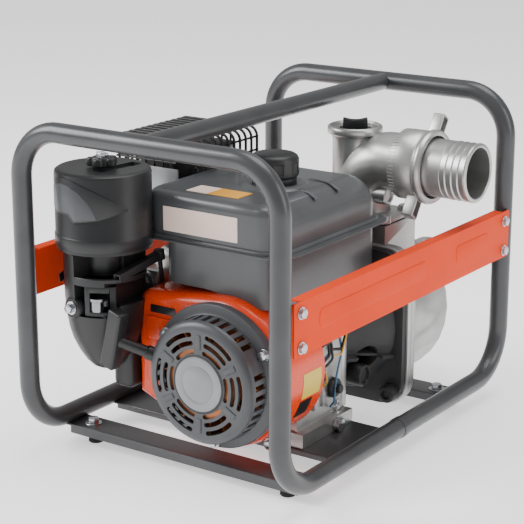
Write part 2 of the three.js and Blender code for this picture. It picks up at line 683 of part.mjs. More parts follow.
const switchSeat = [58, -84, 62];
const switchBody = join(box(-12, 6, -11, 11, -11, 11), box(-21, -12, -11, 11, -11, -6),
  rod(8, 5, 'x', [6, 0, 0], 16));
place(engine, 'switch_box', switchBody, blackPlastic, switchSeat);
const switchKnob = join(rod(7, 5, 'x', [0, 0, 0], 16), box(4, 9, -1.8, 1.8, -7, 7));
place(engine, 'ignition_switch', switchKnob, blackPlastic,
  [switchSeat[0] + 11 + gap, switchSeat[1], switchSeat[2]]);

// ---- Muffler and its guard ----------------------------------------------------------------
const muffler = new THREE.Group();
muffler.position.set(-152, -8, 0);
pump.add(muffler);
const mufflerHalf = [40, 46];
const mufflerFoot = 268;
const mufflerTop = 358;
const shieldReach = 56;          // heat shield's right edge, over the tank's left side
const exhaustX = 52;
const headSide = cylinderY + finHalfY + gap + 8;
const pipeCorners = [at(exhaustX, headSide, 198), at(exhaustX, 34, 198), at(exhaustX - 24, 34, 240),
  at(exhaustX - 24, 34, mufflerFoot + 4)];
const canShape = roundedRectangle(...mufflerHalf, 18);
const mufflerCan = pillow(canShape, mufflerTop - mufflerFoot - 12, 6).translate([0, 0, mufflerFoot + 6]);
const pipe = bentTube(pipeCorners, [12], 10, { sides: 8, bendSteps: 2 });
const shield = box(-mufflerHalf[0], shieldReach, -mufflerHalf[1] + 4, mufflerHalf[1] - 4,
  mufflerTop - 1, mufflerTop + 9);
place(muffler, 'muffler', join(mufflerCan, shield, pipe), steel);

// The guard's arches run across the muffler; on the tank's side they stop above the tank.
const guardLeft = -48;
const guardRight = 80;
const guardFront = -66;
const guardBack = 58;
const guardTop = 384;
const guardFoot = 274;
const guardShelf = 346;          // foot of the arches on the tank's side
const wireRadius = 1.6;
const arches = 6;
const wireBend = { sides: 4, bendSteps: 2 };
const alongX = (x0, x1, y, z) => box(x0, x1, y - 1.5, y + 1.5, z - 1.5, z + 1.5);
const alongY = (x, z) => box(x - 1.5, x + 1.5, guardFront, guardBack, z - 1.5, z + 1.5);
const guardWires = [];
for (let i = 0; i < arches; i += 1) {
  const y = guardFront + ((guardBack - guardFront) * i) / (arches - 1);
  const across = [at(guardLeft, y, guardFoot), at(guardLeft, y, guardTop),
    at(guardRight, y, guardTop), at(guardRight, y, guardShelf)];
  guardWires.push(bentTube(across, [14], wireRadius, wireBend));
}
for (const z of [guardFoot + 8, guardFoot + 50, guardTop - 18]) guardWires.push(alongY(guardLeft, z));
for (const z of [guardShelf + 2, guardTop - 18]) guardWires.push(alongY(guardRight, z));
for (const x of [guardLeft + 32, guardLeft + 64, guardLeft + 96]) {
  guardWires.push(alongY(x, guardTop));
}
for (const y of [guardFront, guardBack]) {
  guardWires.push(alongX(guardLeft, guardRight, y, guardTop - 18));
  guardWires.push(alongX(guardLeft, mufflerHalf[0] + 1, y, guardFoot + 30));
  guardWires.push(box(mufflerHalf[0], mufflerHalf[0] + 3, y - 1.5, y + 1.5, guardFoot + 29,
    guardTop - 17));
}
place(muffler, 'muffler_guard', join(...guardWires), blackPlastic);

// ---- Pump bracket and casing --------------------------------------------------------------
const bracketFront = coverBack + gap;
const cone = turned([[34, 0], [58, 0], [92, bracketBack - bracketFront - 6],
  [84, bracketBack - bracketFront - 6]], 'y', [0, bracketFront, 0], 28);
const coneFoot = ring(58, 22, 8, 'y', [0, bracketFront, 0], 28);
const flangeShape = (inset) => roundedRectangle(flangeHalf - inset, flangeHalf + 4 - inset, 34);
const bracketFlange = cut(slab(flangeShape(3), 10, 'y', [0, bracketBack - 10, 0]),
  rod(70, 30, 'y', [0, bracketBack - 20, 0]));
const ribs = [];
for (let i = 0; i < 8; i += 1) {
  const ribOutline = new THREE.Shape();
  ribOutline.moveTo(56, 0);
  ribOutline.lineTo(68, 0);
  ribOutline.lineTo(98, bracketBack - bracketFront - 5);
  ribOutline.lineTo(88, bracketBack - bracketFront - 5);
  const rib = slab(ribOutline, 5).translate([0, bracketFront, -2.5]);
  ribs.push(rib.rotate([0, 45 * i + 22.5, 0]));
}
const windowCut = rod(20, 200, 'x', [0, (bracketFront + bracketBack) / 2 - 6, -34], 20);
const bracket = cut(join(cone, coneFoot, bracketFlange, ...ribs), windowCut);
place(wetEnd, 'pump_bracket', bracket, darkCast);

const plateFront = bracketBack + gap;
const shaftHole = rod(20, 60, 'y', [0, plateFront - 20, 0]);
place(wetEnd, 'pump_back_plate', cut(slab(flangeShape(0), flangeThick, 'y', [0, plateFront, 0]),
  shaftHole), castAluminium);
const seal = ring(19.6, shaftRadius + gap, flangeThick + 6, 'y', [0, plateFront, 0], 16);
place(wetEnd, 'shaft_seal', seal, rubber);

const casingFront = plateFront + flangeThick + gap;
const casingDepth = casingBack - casingFront;
const domeAt = [0, casingFront, casingRaise];
function dome(inset) {
  const [radius, depth] = [casingRadius - inset, casingDepth - inset];
  const outline = [[0, 0], [radius, 0], [radius, depth - 20], [radius - 5, depth - 9],
    [radius - 18, depth], [0, depth]];
  return turned(outline, 'y', domeAt, 28);
}

const portBlock = (inset, top) => box(-portHalfX + inset, portHalfX - inset,
  portY - portHalfY + inset, portY + portHalfY - inset, 0, top);
const suctionZ = suctionRaise;
const suctionStubEnd = casingBack + 30.5;
const suctionStub = rod(portRadius, suctionStubEnd - casingBack + 4, 'y',
  [0, casingBack - 4, suctionZ], 32);
const suctionHole = rod(portBore, 60, 'y', [0, casingBack - 12, suctionZ], 28);
const outletHole = rod(portBore, 60, 'z', [0, portY, portTop - crankZ - 40], 28);
const casingSolid = join(slab(flangeShape(0), flangeThick, 'y', [0, casingFront, 0]), dome(0),
  portBlock(0, portTop - crankZ), suctionStub);
const casingHollow = join(dome(casingWall).translate([0, -1, 0]),
  portBlock(8, portTop - crankZ - 20));
const drainZ = casingRaise - casingRadius + 42;
const drainHole = rod(8.3, 40, '-y', [0, casingBack + 10, drainZ], 16);
const casing = cut(casingSolid, casingHollow, suctionHole, outletHole, drainHole);
place(wetEnd, 'pump_casing', casing, castAluminium);

const drainPlug = join(rod(8, 22, 'y', [0, 0, 0], 16), rod(13, 9, 'y', [0, 13, 0], 6));
place(wetEnd, 'pump_drain_plug', drainPlug, castAluminium,
  [0, casingBack - 13 + gap, drainZ]);

const vanes = [];
for (let i = 0; i < 4; i += 1) {
  const vane = box(-2.5, 2.5, casingFront + 12, casingFront + 28, 14, impellerRadius);
  vanes.push(vane.rotate([0, 90 * i, 0]));
}
const impellerBody = join(rod(impellerRadius, 5, 'y', [0, casingFront + 8, 0], 32),
  rod(20, 24, 'y', [0, casingFront + 8, 0]), ...vanes);
place(wetEnd, 'impeller', cut(impellerBody, crankBore), castAluminium);

// Check-valve flap: hinged above the suction bore, inside the casing.
const flap = join(rod(portBore + 3, 4, 'y', [0, 0, -portBore - 6], 24),
  box(-14, 14, 0, 4, -10, 0), rod(3, 30, 'x', [-15, 1, 0], 12));
place(wetEnd, 'check_valve_flap', flap, rubber,
  [0, casingBack - casingWall - 5, suctionZ + portBore + 6]);

// ---- Outlet casting, along the port's centre ----------------------------------------------
const outlet = new THREE.Group();
outlet.position.set(0, portY, portTop - crankZ);
wetEnd.add(outlet);
const portSheet = roundedRectangle(portHalfX, portHalfY, 12);
const gasketRoom = slab(portSheet, gasketThick);
const gasketHole = rod(portBore, 20, 'z', [0, 0, -5], 28);
place(outlet, 'outlet_gasket', cut(gasketRoom, gasketHole), rubber, [0, 0, gap]);
const castFoot = gasketThick + 2 * gap;
const outletZ = outletHeight - portTop;
const elbowCorners = [at(0, 0, castFoot), at(0, 0, outletZ), at(nutStart + 30, 0, outletZ)];
const elbow = bentTube(elbowCorners, [elbowBend], portRadius, { sides: 16, bendSteps: 4 });
const elbowHollow = bentTube([at(0, 0, castFoot - 2), at(0, 0, outletZ),
  at(nutStart + 32, 0, outletZ)], [elbowBend], portBore, { sides: 16, bendSteps: 4 });
const neckAt = neckTop - portTop;
const neckOuter = rod(neckRadius, neckAt - castFoot - 30, 'z', [neckX, 0, castFoot + 26], 28);
const neckRim = turned([[0, 0], [neckRadius, 0], [37, 5], [37, 9], [34, 11], [0, 11]], 'z',
  [neckX, 0, neckAt - 11], 28);
const neckBore = rod(21, 80, 'z', [neckX, 0, neckAt - 60], 24);
const rimDish = rod(32, 10, 'z', [neckX, 0, neckAt - 4], 28);
const outletFlange = slab(portSheet, portFlange).translate([0, 0, castFoot]);
const casting = cut(join(outletFlange, elbow, neckOuter, neckRim), elbowHollow, neckBore, rimDish);
place(outlet, 'outlet_elbow', casting, castAluminium);

const fillerPlug = cut(join(rod(20.6, 16, 'z', [0, 0, -12], 24), rod(26, 5, 'z', [0, 0, gap], 24),
  box(-18, 18, -6, 6, 0, 13)), rod(34, 20, 'y', [0, -10, 44], 32));
place(outlet, 'filler_plug', fillerPlug, blackPlastic, [neckX, 0, neckAt - 4]);

// ---- Hose couplings -----------------------------------------------------------------------
const collar = 4;
const spigotFoot = 30 + gap;

function couplingNut(lugTurn) {
  const inner = around(portRadius + gap, 20);
  const body = turned([[inner, 0], [45, 0], [47, 12], [47, nutLength - 12], [49, nutLength - 7],
    [48, nutLength], [inner + 1, nutLength], [inner + 1, 36 + gap],
    [inner + collar + gap, 36 + gap], [inner + collar + gap, 30], [inner, 30]]);
  const lugs = [0, 180].map((turn) => (
    box(44, 82, -7.5, 7.5, 24, 40).rotate([0, 0, turn + lugTurn])));
  const core = rod(44, nutLength);
  return join(body, ...lugs.map((lug) => cut(lug, core)));
}

// A hose spigot with a captive collar and three barbs.
function hoseSpigot() {
  const end = spigotFoot + spigotLength;
  const barb = (z) => [[portRadius - 1.5, z], [portRadius, z + 1]];
  return turned([[portBore, spigotFoot], [portRadius + collar, spigotFoot], [portRadius + collar, 36],
    [portRadius, 36], [portRadius, end - 42], ...barb(end - 40), ...barb(end - 26),
    ...barb(end - 12), [portRadius - 1, end], [portBore, end]]);
}

place(outlet, 'outlet_nut', couplingNut(-34), castAluminium, [nutStart, 0, outletZ],
  [0, Math.PI / 2, 0]);
place(outlet, 'outlet_spigot', hoseSpigot(), castAluminium, [nutStart, 0, outletZ],
  [0, Math.PI / 2, 0]);
const suctionAt = [0, suctionStubEnd - 30, suctionZ];
place(wetEnd, 'suction_nut', couplingNut(-50), castAluminium, suctionAt, [-Math.PI / 2, 0, 0]);
place(wetEnd, 'suction_spigot', hoseSpigot(), castAluminium, suctionAt, [-Math.PI / 2, 0, 0]);

// The group is shifted so that X and Y are centred on its overall box.
const rightReach = crankX + nutStart + spigotFoot + spigotLength;
const leftReach = webFace + plateSheet + gap + boltHead;
const backReach = suctionStubEnd - 30 + spigotFoot + spigotLength;
const frontReach = halfLength + tubeRadius;
pump.position.set((leftReach - rightReach) / 2, (frontReach - backReach) / 2, 0);

export default pump;
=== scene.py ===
import json
import math

import bmesh
import bpy
from mathutils import Matrix, Vector


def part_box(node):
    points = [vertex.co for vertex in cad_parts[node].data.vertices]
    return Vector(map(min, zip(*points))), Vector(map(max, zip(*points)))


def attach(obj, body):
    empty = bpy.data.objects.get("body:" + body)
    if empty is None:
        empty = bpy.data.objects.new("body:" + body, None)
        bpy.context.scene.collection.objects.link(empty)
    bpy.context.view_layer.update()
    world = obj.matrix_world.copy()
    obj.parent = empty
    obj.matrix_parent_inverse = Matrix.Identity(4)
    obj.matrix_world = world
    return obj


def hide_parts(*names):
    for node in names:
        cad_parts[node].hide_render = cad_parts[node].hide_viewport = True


# A frame-mounted water pump. Shapes are worked out in millimetres and set down in metres.
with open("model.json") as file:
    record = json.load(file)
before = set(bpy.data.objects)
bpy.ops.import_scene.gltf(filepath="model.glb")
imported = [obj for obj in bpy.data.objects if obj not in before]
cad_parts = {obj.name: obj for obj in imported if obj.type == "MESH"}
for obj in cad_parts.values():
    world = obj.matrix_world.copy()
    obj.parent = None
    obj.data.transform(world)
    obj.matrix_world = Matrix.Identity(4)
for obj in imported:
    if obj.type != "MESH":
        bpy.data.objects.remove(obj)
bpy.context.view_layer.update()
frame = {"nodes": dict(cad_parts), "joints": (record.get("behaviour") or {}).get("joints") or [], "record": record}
record = frame["record"]
body_of_node = {n: b for b, nodes in record["behaviour"]["bodies"].items() for n in nodes}
slot_of_node = {s["node"]: s["material_slot"] for s in record["subparts"]}
X, Y, Z = Vector((1, 0, 0)), Vector((0, 1, 0)), Vector((0, 0, 1))
FULL = 2 * math.pi


def corners(node):
    low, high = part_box(node)
    return low * 1000, high * 1000


def middle(node):
    low, high = corners(node)
    return (low + high) / 2


# ---- Shaping ------------------------------------------------------------------------------
def aimed(bm, at=(0, 0, 0), axis=Z, turn=0):
    """Turns a shape made along +Z about itself, points it along an axis and moves it."""
    swing = Z.rotation_difference(Vector(axis)).to_matrix().to_4x4()
    place = Matrix.Translation(Vector(at)) @ swing @ Matrix.Rotation(turn, 4, "Z")
    return laid(bm, place)


def laid(bm, matrix):
    bmesh.ops.transform(bm, matrix=matrix, verts=bm.verts[:])
    return bm


def moved(bm, at):
    bmesh.ops.translate(bm, vec=Vector(at), verts=bm.verts[:])
    return bm


def turned_about(bm, centre, axis, angle):
    spin = Matrix.Rotation(angle, 4, Vector(axis))
    bmesh.ops.rotate(bm, cent=Vector(centre), matrix=spin, verts=bm.verts[:])
    return bm


def joined(*parts):
    whole = bmesh.new()
    for part in parts:
        carrier = bpy.data.meshes.new("carrier")
        part.to_mesh(carrier)
        whole.from_mesh(carrier)
        bpy.data.meshes.remove(carrier)
        part.free()
    return whole


def bevelled(bm, edges, width, segments):
    bmesh.ops.bevel(bm, geom=edges, offset=width, offset_type="OFFSET", segments=segments,
                    profile=0.5, affect="EDGES", clamp_overlap=True, material=-1)
    return bm


def rounded(bm, width, segments=2, sharper_than=30):
    """Rounds every edge that turns by more than an angle."""
    limit = math.radians(sharper_than)
    edges = [e for e in bm.edges if len(e.link_faces) == 2 and e.calc_face_angle(0) > limit]
    return bevelled(bm, edges, width, segments)


def block(x0, x1, y0, y1, z0, z1, edge=0.0, segments=2):
    bm = bmesh.new()
    bmesh.ops.create_cube(bm, size=1)
    bmesh.ops.scale(bm, vec=(x1 - x0, y1 - y0, z1 - z0), verts=bm.verts[:])
    moved(bm, ((x0 + x1) / 2, (y0 + y1) / 2, (z0 + z1) / 2))
    return rounded(bm, edge, segments) if edge else bm


def turned(profile, at=(0, 0, 0), axis=Z, steps=64):
    """A turned piece from (radius, height) pairs; it closes on itself unless it meets the axis."""
    bm = bmesh.new()
    outline = [bm.verts.new((radius, 0, height)) for radius, height in profile]
    edges = [bm.edges.new(pair) for pair in zip(outline, outline[1:])]
    if profile[0][0] > 0 or profile[-1][0] > 0:
        edges.append(bm.edges.new((outline[-1], outline[0])))
    bmesh.ops.spin(bm, geom=outline + edges, cent=(0, 0, 0), axis=Z, dvec=(0, 0, 0),
                   angle=FULL, steps=steps, use_merge=True, use_duplicate=False)
    bmesh.ops.remove_doubles(bm, verts=bm.verts[:], dist=0.001)
    bmesh.ops.recalc_face_normals(bm, faces=bm.faces[:])
    return aimed(bm, at, axis)


def rod(radius, length, at=(0, 0, 0), axis=Z, steps=32, edge=0.0):
    profile = [(0, 0), (radius - edge, 0), (radius, edge), (radius, length - edge),
               (radius - edge, length), (0, length)]
    if not edge:
        profile = [(0, 0), (radius, 0), (radius, length), (0, length)]
    return turned(profile, at, axis, steps)


def hex_bolt(at, axis, across=12, height=6, washer=9, turn=0.0):
    """A hexagon head with its washer; the washer's foot is at the given point."""
    head = rod(across / 2 / math.cos(math.pi / 6), height, (0, 0, 1.6), Z, 6)
    rounded(head, 0.7, 2, 50)
    ring = rod(washer, 1.6, (0, 0, 0), Z, 32, 0.3)
    return aimed(joined(head, ring), at, axis, turn)


def arc(centre, radius, start, stop, steps):
    """Points of an arc, from one angle to another in degrees."""
    angles = [math.radians(start + (stop - start) * i / steps) for i in range(steps + 1)]
    return [(centre[0] + radius * math.cos(a), centre[1] + radius * math.sin(a))
            for a in angles]


def sheet_cut(outline, depth):
    """A flat outline in XY given a thickness along +Z."""
    bm = bmesh.new()
    face = bm.faces.new([bm.verts.new((x, y, 0)) for x, y in outline])
    grown = bmesh.ops.extrude_face_region(bm, geom=[face])
    raised = [v for v in grown["geom"] if isinstance(v, bmesh.types.BMVert)]
    bmesh.ops.translate(bm, vec=(0, 0, depth), verts=raised)
    bmesh.ops.recalc_face_normals(bm, faces=bm.faces[:])
    return bm


def curved_slot(radius, half, centre, spread):
    """A slot bent round the origin, with round ends."""
    start, stop = centre - spread / 2, centre + spread / 2
    ends = [(radius * math.cos(math.radians(a)), radius * math.sin(math.radians(a)))
            for a in (start, stop)]
    return (arc((0, 0), radius + half, start, stop, 10)
            + arc(ends[1], half, stop, stop + 180, 6)[1:-1]
            + arc((0, 0), radius - half, stop, start, 10)
            + arc(ends[0], half, start + 180, start + 360, 6)[1:-1])


def round_rectangle(x0, x1, y0, y1, radius, steps=8):
    return (arc((x1 - radius, y1 - radius), radius, 0, 90, steps)
            + arc((x0 + radius, y1 - radius), radius, 90, 180, steps)
            + arc((x0 + radius, y0 + radius), radius, 180, 270, steps)
            + arc((x1 - radius, y0 + radius), radius, 270, 360, steps))


def cushion(outline, height, edge, segments=6):
    """A slab along +Z whose top rim is rounded over."""
    bm = sheet_cut(outline, height)
    rim = [e for e in bm.edges if all(abs(v.co.z - height) < 1e-4 for v in e.verts)]
    return bevelled(bm, rim, edge, segments)


def bent_tube(points, bends, radius, sides=32, steps=10, closed_ends=True):
    """A round bar bent at each middle point: drawn straight, then swung round the bend."""
    points = [Vector(p) for p in points]
    bm = bmesh.new()
    made = bmesh.ops.create_circle(bm, cap_ends=closed_ends, segments=sides, radius=radius)
    heading = (points[1] - points[0]).normalized()
    aimed(bm, points[0], heading)
    ring = list({e for v in made["verts"] for e in v.link_edges})
    here = points[0]

    def draw(ring, travel):
        grown = bmesh.ops.extrude_edge_only(bm, edges=ring)["geom"]
        bmesh.ops.translate(bm, vec=travel, verts=[g for g in grown
                                                    if isinstance(g, bmesh.types.BMVert)])
        return [g for g in grown if isinstance(g, bmesh.types.BMEdge)]

    for i, corner in enumerate(points[1:-1]):
        after = (points[i + 2] - corner).normalized()
        angle = heading.angle(after)
        bend = bends[i % len(bends)]
        start = corner - heading * bend * math.tan(angle / 2)
        if (start - here).length > 1e-4:
            ring = draw(ring, start - here)
        inward = (after - heading * after.dot(heading)).normalized()
        axis = heading.cross(inward)
        swung = bmesh.ops.spin(bm, geom=ring + list({v for e in ring for v in e.verts}),
                               cent=start + inward * bend, axis=axis, dvec=(0, 0, 0),
                               angle=angle, steps=steps, use_duplicate=False)
        ring = [g for g in swung["geom_last"] if isinstance(g, bmesh.types.BMEdge)]
        here = corner + after * bend * math.tan(angle / 2)
        heading = after
    ring = draw(ring, points[-1] - here)
    if closed_ends:
        bmesh.ops.contextual_create(bm, geom=ring)
    bmesh.ops.remove_doubles(bm, verts=bm.verts[:], dist=0.001)
    bmesh.ops.recalc_face_normals(bm, faces=bm.faces[:])
    return bm


def pipe(points, bends, radius, hole, sides=32, steps=10):
    """A bent tube with an open bore."""
    outside = bent_tube(points, bends, radius, sides, steps, False)
    inside = bent_tube(points, bends, hole, sides, steps, False)
    bmesh.ops.reverse_faces(inside, faces=inside.faces[:])
    both = joined(outside, inside)
    for end in (0, -1):
        place = Vector(points[end])
        reach = radius + 1
        rim = [e for e in both.edges if e.is_boundary
               and all((v.co - place).length < reach for v in e.verts)]
        bmesh.ops.bridge_loops(both, edges=rim)
    bmesh.ops.recalc_face_normals(both, faces=both.faces[:])
    return both


def stood(name, data):
    """A new object in the scene."""
    o = bpy.data.objects.new(name, data)
    bpy.context.scene.collection.objects.link(o)
    return o


def stand_in_object(bm):
    mesh = bpy.data.meshes.new("workpiece")
    bm.to_mesh(mesh)
    bm.free()
    return stood("workpiece", mesh)


def machined(base, tools, operation="DIFFERENCE"):
    """Cuts the tools out of the base, or keeps only what they share, or welds them on."""
    work = stand_in_object(base)
    cutters = [stand_in_object(tool) for tool in tools]
    for cutter in cutters:
        step = work.modifiers.new("machining", "BOOLEAN")
        step.operation = operation
        step.solver = "EXACT"
        step.object = cutter
    result = bmesh.new()
    result.from_object(work, bpy.context.evaluated_depsgraph_get())
    for o in [work, *cutters]:
        mesh = o.data
        bpy.data.objects.remove(o)
        bpy.data.meshes.remove(mesh)
    bmesh.ops.remove_doubles(result, verts=result.verts[:], dist=0.002)
    bmesh.ops.dissolve_degenerate(result, dist=0.002, edges=result.edges[:])
    return result


def placed(name, bm, body, material, stands_for=(), smooth=35):
    """Sets a finished shape down as a piece on its body."""
    mesh = bpy.data.meshes.new(name)
    bmesh.ops.scale(bm, vec=(0.001, 0.001, 0.001), verts=bm.verts[:])
    bm.to_mesh(mesh)
    bm.free()
    mesh.polygons.foreach_set("use_smooth", [True] * len(mesh.polygons))
    mesh.set_sharp_from_angle(angle=math.radians(smooth))
    mesh.materials.append(material)
    o = stood(name, mesh)
    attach(o, body)
    if stands_for:
        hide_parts(*stands_for)
    return o


def made_for(node, name, bm, material=None, smooth=35):
    """A piece that stands for one CAD node, on that node's body and slot."""
    slot = slot_of_node[node]
    return placed(name, bm, body_of_node[node], material or SLOT_FINISH[slot],
                  (node,), smooth)


def fixed(name, bm, slot, material=None):
    """A piece on the pump's own body, in its slot's finish unless another is given."""
    placed(name, bm, ROOT, material or SLOT_FINISH[slot])


def softened(node, width, segments):
    """The node's own shape with its triangles merged and its edges rounded."""
    bm = bmesh.new()
    bm.from_mesh(frame["nodes"][node].data)
    bmesh.ops.scale(bm, vec=(1000, 1000, 1000), verts=bm.verts[:])
    bmesh.ops.remove_doubles(bm, verts=bm.verts[:], dist=0.01)
    bmesh.ops.dissolve_limit(bm, angle_limit=math.radians(1), verts=bm.verts[:],
                             edges=bm.edges[:])
    return rounded(bm, width, segments)


def dressed(node, name, width, segments=2, material=None):
    """The node's own shape, softened, as the piece that stands for it."""
    made_for(node, name, softened(node, width, segments), material)


# ---- Finishes -----------------------------------------------------------------------------
def linear(code):
    """An sRGB hex colour as linear RGBA."""
    parts = [int(code[i:i + 2], 16) / 255 for i in (0, 2, 4)]
    return tuple(p / 12.92 if p <= 0.04045 else ((p + 0.055) / 1.055) ** 2.4
                 for p in parts) + (1,)


def add(tree, kind, links=(), **settings):
    """Adds a node. Settings name its properties or sockets; links are (socket, source socket)."""
    node = tree.nodes.new(kind)
    for key, value in settings.items():
        label = key.replace("_", " ").title() if key[0].islower() else key.replace("_", " ")
        if hasattr(node, key):
            setattr(node, key, value)
        else:
            node.inputs[label].default_value = value
    for socket, source in links:
        tree.links.new(source, node.inputs[socket])
    return node


def finish(name, light, dark, grain_mm, bump_mm, rough, metal=0.0, coat=0.0, patch_mm=60.0,
           rough_spread=0.06):
    """A finish with slow colour patches, fine grain in its surface and uneven gloss."""
    material = bpy.data.materials.new(name)
    material.use_nodes = True
    tree = material.node_tree
    tree.nodes.clear()
    place = add(tree, "ShaderNodeTexCoord").outputs["Object"]
    patches = add(tree, "ShaderNodeTexNoise", [("Vector", place)], Scale=1000 / patch_mm,
                  Detail=4.0, Roughness=0.55)
    grain = add(tree, "ShaderNodeTexNoise", [("Vector", place)], Scale=1000 / grain_mm,
                Detail=2.0, Roughness=0.5)
    blend = add(tree, "ShaderNodeMapRange", [("Value", patches.outputs["Fac"])],
                From_Min=0.35, From_Max=0.65)
    colour = add(tree, "ShaderNodeMix", [("Factor", blend.outputs["Result"])],
                 data_type="RGBA")
    dark_end, light_end = [s for s in colour.inputs if s.type == "RGBA"]
    dark_end.default_value, light_end.default_value = linear(dark), linear(light)
    gloss = add(tree, "ShaderNodeMapRange", [("Value", grain.outputs["Fac"])],
                To_Min=max(0.05, rough - rough_spread), To_Max=rough + rough_spread)
    relief = add(tree, "ShaderNodeBump", [("Height", grain.outputs["Fac"])],
                 Strength=0.35, Distance=bump_mm / 1000)
    mixed = [s for s in colour.outputs if s.type == "RGBA"][0]
    shader = add(tree, "ShaderNodeBsdfPrincipled",
                 [("Base Color", mixed), ("Roughness", gloss.outputs["Result"]),
                  ("Normal", relief.outputs["Normal"])],
                 Metallic=metal, Coat_Weight=coat, Coat_Roughness=0.12)
    add(tree, "ShaderNodeOutputMaterial", [("Surface", shader.outputs["BSDF"])])
    return material


def sockets(material):
    """The inputs of a finish's own shader."""
    return material.node_tree.nodes["Principled BSDF"].inputs


# Powder coat: satin dark grey with a slight orange peel that softens its long highlights.
powder_coat = finish("grey_powder_coat", "47484A", "3F4042", 1.6, 0.05, 0.34, 0.3, 0.15)
# Baked enamel: strong orange, glossy, with faint waviness.
orange_enamel = finish("orange_enamel", "EA4205", "E23C03", 3.0, 0.03, 0.26, 0.0, 0.15)
# The same orange on the long plates, with a satin skin.
plate_enamel = finish("satin_orange_enamel", "E83E04", "E03A02", 1.6, 0.03, 0.6)
sockets(plate_enamel)["Specular IOR Level"].default_value = 0.2
# Shot-blasted die casting: bright silver grey with a fine sandy grit.
cast_aluminium = finish("cast_aluminium", "C2C2C0", "A9A9A8", 0.9, 0.10, 0.36, 0.9)
# Zinc-plated steel: bright with slightly cloudy plating.
zinc_steel = finish("zinc_plated_steel", "C9CCD0", "B4B7BC", 0.8, 0.03, 0.28, 1.0)
# Stove enamel on pressed steel: satin charcoal with very slow tone changes.
tank_enamel = finish("charcoal_tank_enamel", "4F5153", "474A4C", 1.4, 0.03, 0.36, 0.1, 0.15)
# Moulded polypropylene: black with a fine eroded texture.
black_plastic = finish("black_polypropylene", "1B1C1E", "161719", 0.9, 0.08, 0.42)
# Moulded nylon: mid grey with a satin skin.
grey_plastic = finish("grey_nylon", "4B4D50", "424447", 1.0, 0.05, 0.40, 0.1)
# Vulcanised rubber: dull black.
rubber = finish("black_rubber", "141414", "101010", 1.2, 0.12, 0.70)
# Baked primer on the flywheel: copper brown.
copper_primer = finish("copper_brown_primer", "B87346", "8E5430", 1.5, 0.08, 0.36, 0.5)
# Painted iron casting: near-black grey with a coarse sand-cast skin.
painted_iron = finish("painted_iron_casting", "2E2F31", "252628", 1.6, 0.30, 0.50, 0.2)
# Pleated filter paper: straw yellow, matt.
filter_paper = finish("filter_paper", "D9B45E", "C9A24C", 0.8, 0.10, 0.85)
# Bright-plated fuel cup and small fittings.
bright_plate = finish("bright_plated_cup", "8E9092", "7A7C7E", 2.0, 0.01, 0.18, 1.0)
# Polished face of the starter's badge: light silver grey.
badge_silver = finish("badge_silver", "8B8D90", "808285", 1.0, 0.02, 0.35, 0.3)
# Printed polyester labels, with no wording: pale, amber and black fields.
pale_label = finish("pale_label", "F6DDD2", "F2D5C8", 1.0, 0.01, 0.35)
amber_label = finish("amber_label", "E8A52C", "E09B24", 1.0, 0.01, 0.35)
black_label = finish("black_label", "1B1C1E", "161718", 1.0, 0.01, 0.30)
yellow_label = finish("yellow_label", "DDC04A", "D4B640", 1.0, 0.01, 0.35)
# PVC wire covers.
black_wire = finish("black_wire_cover", "191919", "131313", 1.0, 0.02, 0.35)
blue_wire = finish("blue_wire_cover", "3E6E8E", "355F7C", 1.0, 0.02, 0.35)
yellow_wire = finish("yellow_wire_cover", "D8A83C", "C99A32", 1.0, 0.02, 0.35)
# Dark wire of the muffler guard, stove-blacked.
black_wirework = finish("stove_black_wire", "252525", "1C1C1C", 0.8, 0.03, 0.42, 0.3)
# Aluminised muffler sheet: pale, slightly mottled.
aluminised_sheet = finish("aluminised_sheet", "A9ABAC", "8F9193", 5.0, 0.04, 0.38, 0.8)

SLOT_FINISH = {
    "frame_paint": powder_coat, "orange_paint": orange_enamel,
    "cast_aluminium": cast_aluminium, "zinc_steel": zinc_steel, "tank_paint": tank_enamel,
    "black_plastic": black_plastic, "grey_plastic": grey_plastic, "rubber": rubber,
    "copper_paint": copper_primer, "dark_cast": painted_iron, "filter_paper": filter_paper,
}
for node, o in frame["nodes"].items():
    o.data.materials.clear()
    o.data.materials.append(SLOT_FINISH[slot_of_node[node]])

frame["nodes"]["recoil_reel"].data.materials[0] = copper_primer

# ---- Shared places, from the frame ---------------------------------------------------------
crank = middle("flywheel_fan")
frame_low, frame_high = corners("front_hoop")
tube = 12.7        # radius of the frame's tube
tank_top = 340     # the tank's flat top, round its filler neck
rail_z = frame_low.z + tube
top_z = frame_high.z - tube
front_y = frame_low.y + tube
back_y = corners("rear_hoop")[1].y - tube
middle_x = (frame_low.x + frame_high.x) / 2
half_width = (frame_high.x - frame_low.x) / 2 - tube
ROOT = "pump_unit"


# ---- Carry frame --------------------------------------------------------------------------
def hoop(node, name, leg_y, joint_y):
    """One tube bent at four corners, open at its two rail ends."""
    left, right = middle_x - half_width, middle_x + half_width
    path = [(right, joint_y, rail_z), (right, leg_y, rail_z), (right, leg_y, top_z),
            (left, leg_y, top_z), (left, leg_y, rail_z), (left, joint_y, rail_z)]
    made_for(node, name, pipe(path, [65, 60, 60, 65], tube, tube - 2, 40, 14))


